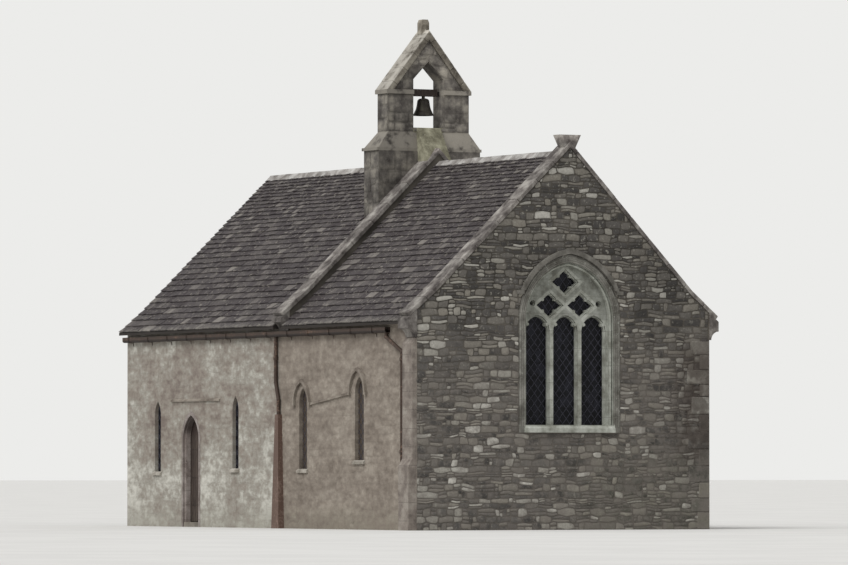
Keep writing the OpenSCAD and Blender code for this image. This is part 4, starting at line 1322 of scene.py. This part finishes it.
def traceryRolls():
    # a thin roll in the step round each light and lozenge
    light = (2 * eastWindow["half"] - 2 * tracery["frame"] - 2 * tracery["mullion"]) / 3
    shape = dict(eastWindow, half=light / 2, spring=tracery["lightSpring"], apex=tracery["lightApex"])
    lines = [
        archPath(dict(shape, middle=eastWindow["middle"] + place * (light + tracery["mullion"])),
                 eastWindow["foot"] - rolls["traceryBelow"])
        for place in (-1, 0, 1)
    ]
    lines += [lozengePath(eastWindow["middle"] + place, *rest) for place, *rest in tracery["lozenges"]]
    parts = [
        roll(line, tracery["step"], tracery["roll"], tracery["depth"], rolls["tracerySides"], rolls["traceryTone"])
        for line in lines
    ]
    piece("traceryRolls", parts, stones["window"])


leading = dict(pitch=0.125, rise=1.25, wide=0.010, deep=0.006, proud=0.3)


def diagonals(opening):
    # parallel lines z = k y + c both ways, each kept where it runs inside the outline
    slope = leading["rise"]
    low, high = opening["foot"], opening["apex"]
    span = (high - low) + 2 * slope * opening["half"]
    step = leading["pitch"] * math.hypot(1, slope)
    starts = np.arange(low - slope * opening["half"], low - slope * opening["half"] + span, step)
    y = np.linspace(-opening["half"], opening["half"], 240)
    ends = []
    for lean in (slope, -slope):
        z = starts[:, None] + lean * y[None]
        inside = (np.abs(y)[None] < halfWidth(opening, z)) & (z > low) & (z < high)
        kept = inside.sum(1) > 3
        first = inside[kept].argmax(1)
        last = len(y) - 1 - inside[kept][:, ::-1].argmax(1)
        rows = np.arange(kept.sum())
        ends.append(np.stack([
            np.stack([y[first] + opening["middle"], z[kept][rows, first]], -1),
            np.stack([y[last] + opening["middle"], z[kept][rows, last]], -1),
        ], 1))
    return np.concatenate(ends)


def windowLeads():
    # bars along the diagonals, just in front of the east glass and on both faces of the lancets'
    proud = leading["deep"] * leading["proud"]
    low, high = box("lancet_glass")
    panes = [(eastWindow, 0, box("east_window_glass")[1][0] + proud)]
    panes += [(light, 1, plane) for light in lancets for plane in (low[1] - proud, high[1] + proud)]
    parts = []
    for opening, axis, plane in panes:
        lines = diagonals(opening)
        start, end = (np.insert(lines[:, i], axis, plane, 1) for i in (0, 1))
        parts.append(bars(start, end, np.eye(3)[axis], leading["wide"], leading["deep"]))
    piece("windowLeads", parts, lead)


windowRolls()
traceryRolls()
windowLeads()


# Door: boards, ledges and studs on the hinged leaf

doorLeaf = dict(
    boards=6, rows=12, groove=0.004, board=0.034, headRoom=0.002, footRoom=0.001, edgeBack=0.006, faceBack=0.001,
    ledges=(0.45, 1.02, 1.60), ledgeTall=0.13, ledgeInset=0.03, ledgeChamfer=0.005,
    stud=0.011, studPair=(-0.035, 0.035), studSides=8, seed=31,
    studRings=[(1.0, 0.002), (1.0, -0.002), (0.62, -0.005), (0.1, -0.006)],
)


def doorBoards():
    # a board is a lattice across and up, u and v from 0 to 1; its top follows the leaf's own
    # pointed head, and its long edges lie back in the grooves
    random = np.random.default_rng(doorLeaf["seed"])
    low, high = box("door_leaf")
    leaf = doorShape("door_leaf", low[2])
    edges = np.linspace(low[0], high[0], doorLeaf["boards"] + 1)
    n = doorLeaf["boards"]
    u = np.array([0, 0.06, 0.5, 0.94, 1])[None, :, None]
    v = np.linspace(0, 1, doorLeaf["rows"])[None, None, :]
    width = (edges[1:] - edges[:-1] - doorLeaf["groove"])[:, None, None]
    x = (edges[:-1] + doorLeaf["groove"] / 2)[:, None, None] + width * u
    head = crownHeight(leaf, x - leaf["middle"]) - doorLeaf["headRoom"]
    room = doorLeaf["footRoom"]
    z = low[2] + room + (head - low[2] - room) * v
    atEdge = (u == 0) | (u == 1)
    front = low[1] + np.where(atEdge, doorLeaf["edgeBack"], doorLeaf["faceBack"]) + 0 * v
    x, y, z = np.broadcast_arrays(x + 0 * v, front + random.uniform(0, 0.001, (n, 1, 1)), z)
    front = np.stack([x, y, z], -1)
    back = front.copy()
    back[..., 1] = low[1] + doorLeaf["board"]
    parts = [slabs(front, borderOf(back), {"tone": random.uniform(0, 1, n)})]
    inset, tall = doorLeaf["ledgeInset"], doorLeaf["ledgeTall"] / 2
    behind = low[1] + doorLeaf["board"] - 0.002
    lows = np.array([(low[0] + inset, behind, ledge - tall) for ledge in doorLeaf["ledges"]])
    highs = np.array([(high[0] - inset, high[1] - 0.0005, ledge + tall) for ledge in doorLeaf["ledges"]])
    tone = random.uniform(0, 1, len(lows))
    parts.append(chamferedBlocks(lows, highs, doorLeaf["ledgeChamfer"], {"tone": tone}))
    piece("doorBoards", parts, darkOak, "door", ("door_leaf",))


def doorStuds():
    # a stud is a tube of four rings along y, each (share of the radius, depth), in pairs on every
    # board over every ledge
    low, high = box("door_leaf")
    edges = np.linspace(low[0], high[0], doorLeaf["boards"] + 1)
    turn = np.linspace(0, 2 * math.pi, doorLeaf["studSides"], endpoint=False)
    spots = np.array([
        (x + side, z)
        for x in (edges[:-1] + edges[1:]) / 2 for z in doorLeaf["ledges"] for side in doorLeaf["studPair"]
    ])
    rings = np.array(doorLeaf["studRings"])
    ring = np.stack([np.cos(turn), np.sin(turn)], -1)
    flat = spots[:, None, None] + rings[None, :, :1, None] * doorLeaf["stud"] * ring[None, None]
    depth = np.broadcast_to((low[1] + doorLeaf["faceBack"] + rings[:, 1])[None, :, None], flat.shape[:3])
    studs = np.stack([flat[..., 0], depth, flat[..., 1]], -1)
    piece("doorStuds", [tubes(studs)], blackIron, "door")


doorBoards()
doorStuds()


# Bell: one profile turned about its own axis

casting = dict(
    outside=[
        (0.030, 0.396), (0.034, 0.390), (0.034, 0.357), (0.050, 0.354), (0.078, 0.348), (0.100, 0.337),
        (0.113, 0.322), (0.119, 0.312), (0.125, 0.309), (0.122, 0.303), (0.127, 0.298), (0.124, 0.292),
        (0.128, 0.270), (0.133, 0.235), (0.140, 0.190), (0.150, 0.150), (0.163, 0.112), (0.172, 0.092),
        (0.179, 0.088), (0.178, 0.080), (0.184, 0.075), (0.184, 0.068), (0.196, 0.044), (0.208, 0.020),
        (0.215, 0.006), (0.213, 0.000),
    ],
    inside=[
        (0.196, 0.001), (0.186, 0.012), (0.175, 0.036), (0.156, 0.072), (0.143, 0.104), (0.130, 0.150),
        (0.120, 0.186), (0.113, 0.225), (0.108, 0.262), (0.092, 0.305), (0.062, 0.322),
    ],
    lip=0.215, sides=56,
)


def turnedBell():
    # (r cos t, r sin t, z) of a profile that runs down the outside and back up the inside
    low, high = box("bell")
    middle = (low + high) / 2
    scale = (high[0] - low[0]) / 2 / casting["lip"]
    profile = np.array(casting["outside"] + casting["inside"]) * [scale, 1]
    turn = np.linspace(0, 2 * math.pi, casting["sides"], endpoint=False)
    x = middle[0] + profile[:, :1] * np.cos(turn)
    y = middle[1] + profile[:, :1] * np.sin(turn)
    z = np.broadcast_to(low[2] + profile[:, 1:], x.shape)
    parts = [tubes(np.stack([x, y, z], -1)[None])]
    piece("turnedBell", parts, bellMetal, "bell", ("bell",), sharp=28)


turnedBell()


# Iron: gutter brackets

brackets = dict(
    every=0.92, ends=(0.3, 0.05), wide=0.028, strap=0.006,
    line=[(3.298, 3.79), (3.306, 3.845), (3.325, 3.858), (3.395, 3.858), (3.4255, 3.878), (3.4255, 3.975)],
)


def gutterBrackets():
    # a flat strap carried along a bent line (y, z) under the north gutter, at even steps in x, and
    # the same mirrored under the south one
    low, high = box("gutters")
    first, last = brackets["ends"]
    xs = np.arange(low[0] + first, high[0] - last, brackets["every"])
    line = np.array(brackets["line"])
    steps = np.gradient(line, axis=0)
    steps /= np.hypot(*steps.T)[:, None]
    out = np.stack([steps[:, 1], -steps[:, 0]], -1) * brackets["strap"]
    half = brackets["wide"] / 2
    inner, outer = line, line + out
    section = [(-half, inner), (half, inner), (half, outer), (-half, outer)]
    ring = np.stack([np.column_stack([np.full(len(line), x), yz]) for x, yz in section], 1)
    rings = ring[None] + np.stack([xs, 0 * xs, 0 * xs], -1)[:, None, None]
    south = rings * [1, -1, 1]
    piece("gutterBrackets", [tubes(rings), tubes(south)], paintedIron)


gutterBrackets()


# Stage: pale floor, even light, and the photograph's line of sight from far off

stage = dict(
    eye=(120.8, -64.2, 1.1), aim=(0.35, 0.15, 5.02), lens=283.0, sensor=36, farEnd=2000,
    sky=0.62, backdrop=(236, 236, 234), sun=2.1, sunSize=32, sunTilt=40, sunTurn=20,
    floor=900.0, floorTints=[(0.4, (206, 205, 202)), (0.6, (211, 210, 207))],
)


def buildStage():
    # camera: tilt = 90 degrees + atan(rise / run) and heading = atan(dy / dx) - 90 degrees
    mesh = bpy.data.meshes.new("floor")
    size = stage["floor"]
    corners = [(-size, -size, 0), (size, -size, 0), (size, size, 0), (-size, size, 0)]
    mesh.from_pydata(corners, [], [(0, 1, 2, 3)])
    floor = link("floor", mesh)
    pale = finish("paleFloor")
    tint = pale.ramp(pale.noise(0.4, 2), *stage["floorTints"])
    mesh.materials.append(pale.surface(tint, 0.95))

    world = bpy.data.worlds.new("paleSky")
    bpy.context.scene.world = world
    sky = Finish(world)
    rays = [sky.node("ShaderNodeLightPath", output=name)
            for name in ("Is Camera Ray", "Is Glossy Ray", "Is Transmission Ray")]
    seen = rays[0] + rays[1] + rays[2]
    light = sky.node("ShaderNodeBackground", sockets={"Color": (1, 1, 1, 1), "Strength": stage["sky"]})
    backdrop = sky.node("ShaderNodeBackground", sockets={"Color": paint(*stage["backdrop"]), "Strength": 1.0})
    both = sky.node("ShaderNodeMixShader", sockets={0: seen, 1: light, 2: backdrop})
    sky.node("ShaderNodeOutputWorld", sockets={"Surface": both})

    lamp = bpy.data.lights.new("softSun", "SUN")
    lamp.energy = stage["sun"]
    lamp.angle = math.radians(stage["sunSize"])
    sun = link("softSun", lamp)
    sun.rotation_euler = (math.radians(stage["sunTilt"]), 0, math.radians(stage["sunTurn"]))

    lens = bpy.data.cameras.new("camera")
    lens.lens = stage["lens"]
    lens.sensor_width = stage["sensor"]
    lens.clip_end = stage["farEnd"]
    camera = link("camera", lens)
    x, y, z = np.array(stage["aim"]) - stage["eye"]
    camera.location = stage["eye"]
    camera.rotation_euler = (math.pi / 2 + math.atan2(z, math.hypot(x, y)), 0, math.atan2(y, x) - math.pi / 2)
    bpy.context.scene.camera = camera
    bpy.context.scene.view_settings.view_transform = "Standard"


buildStage()

print("stage set")
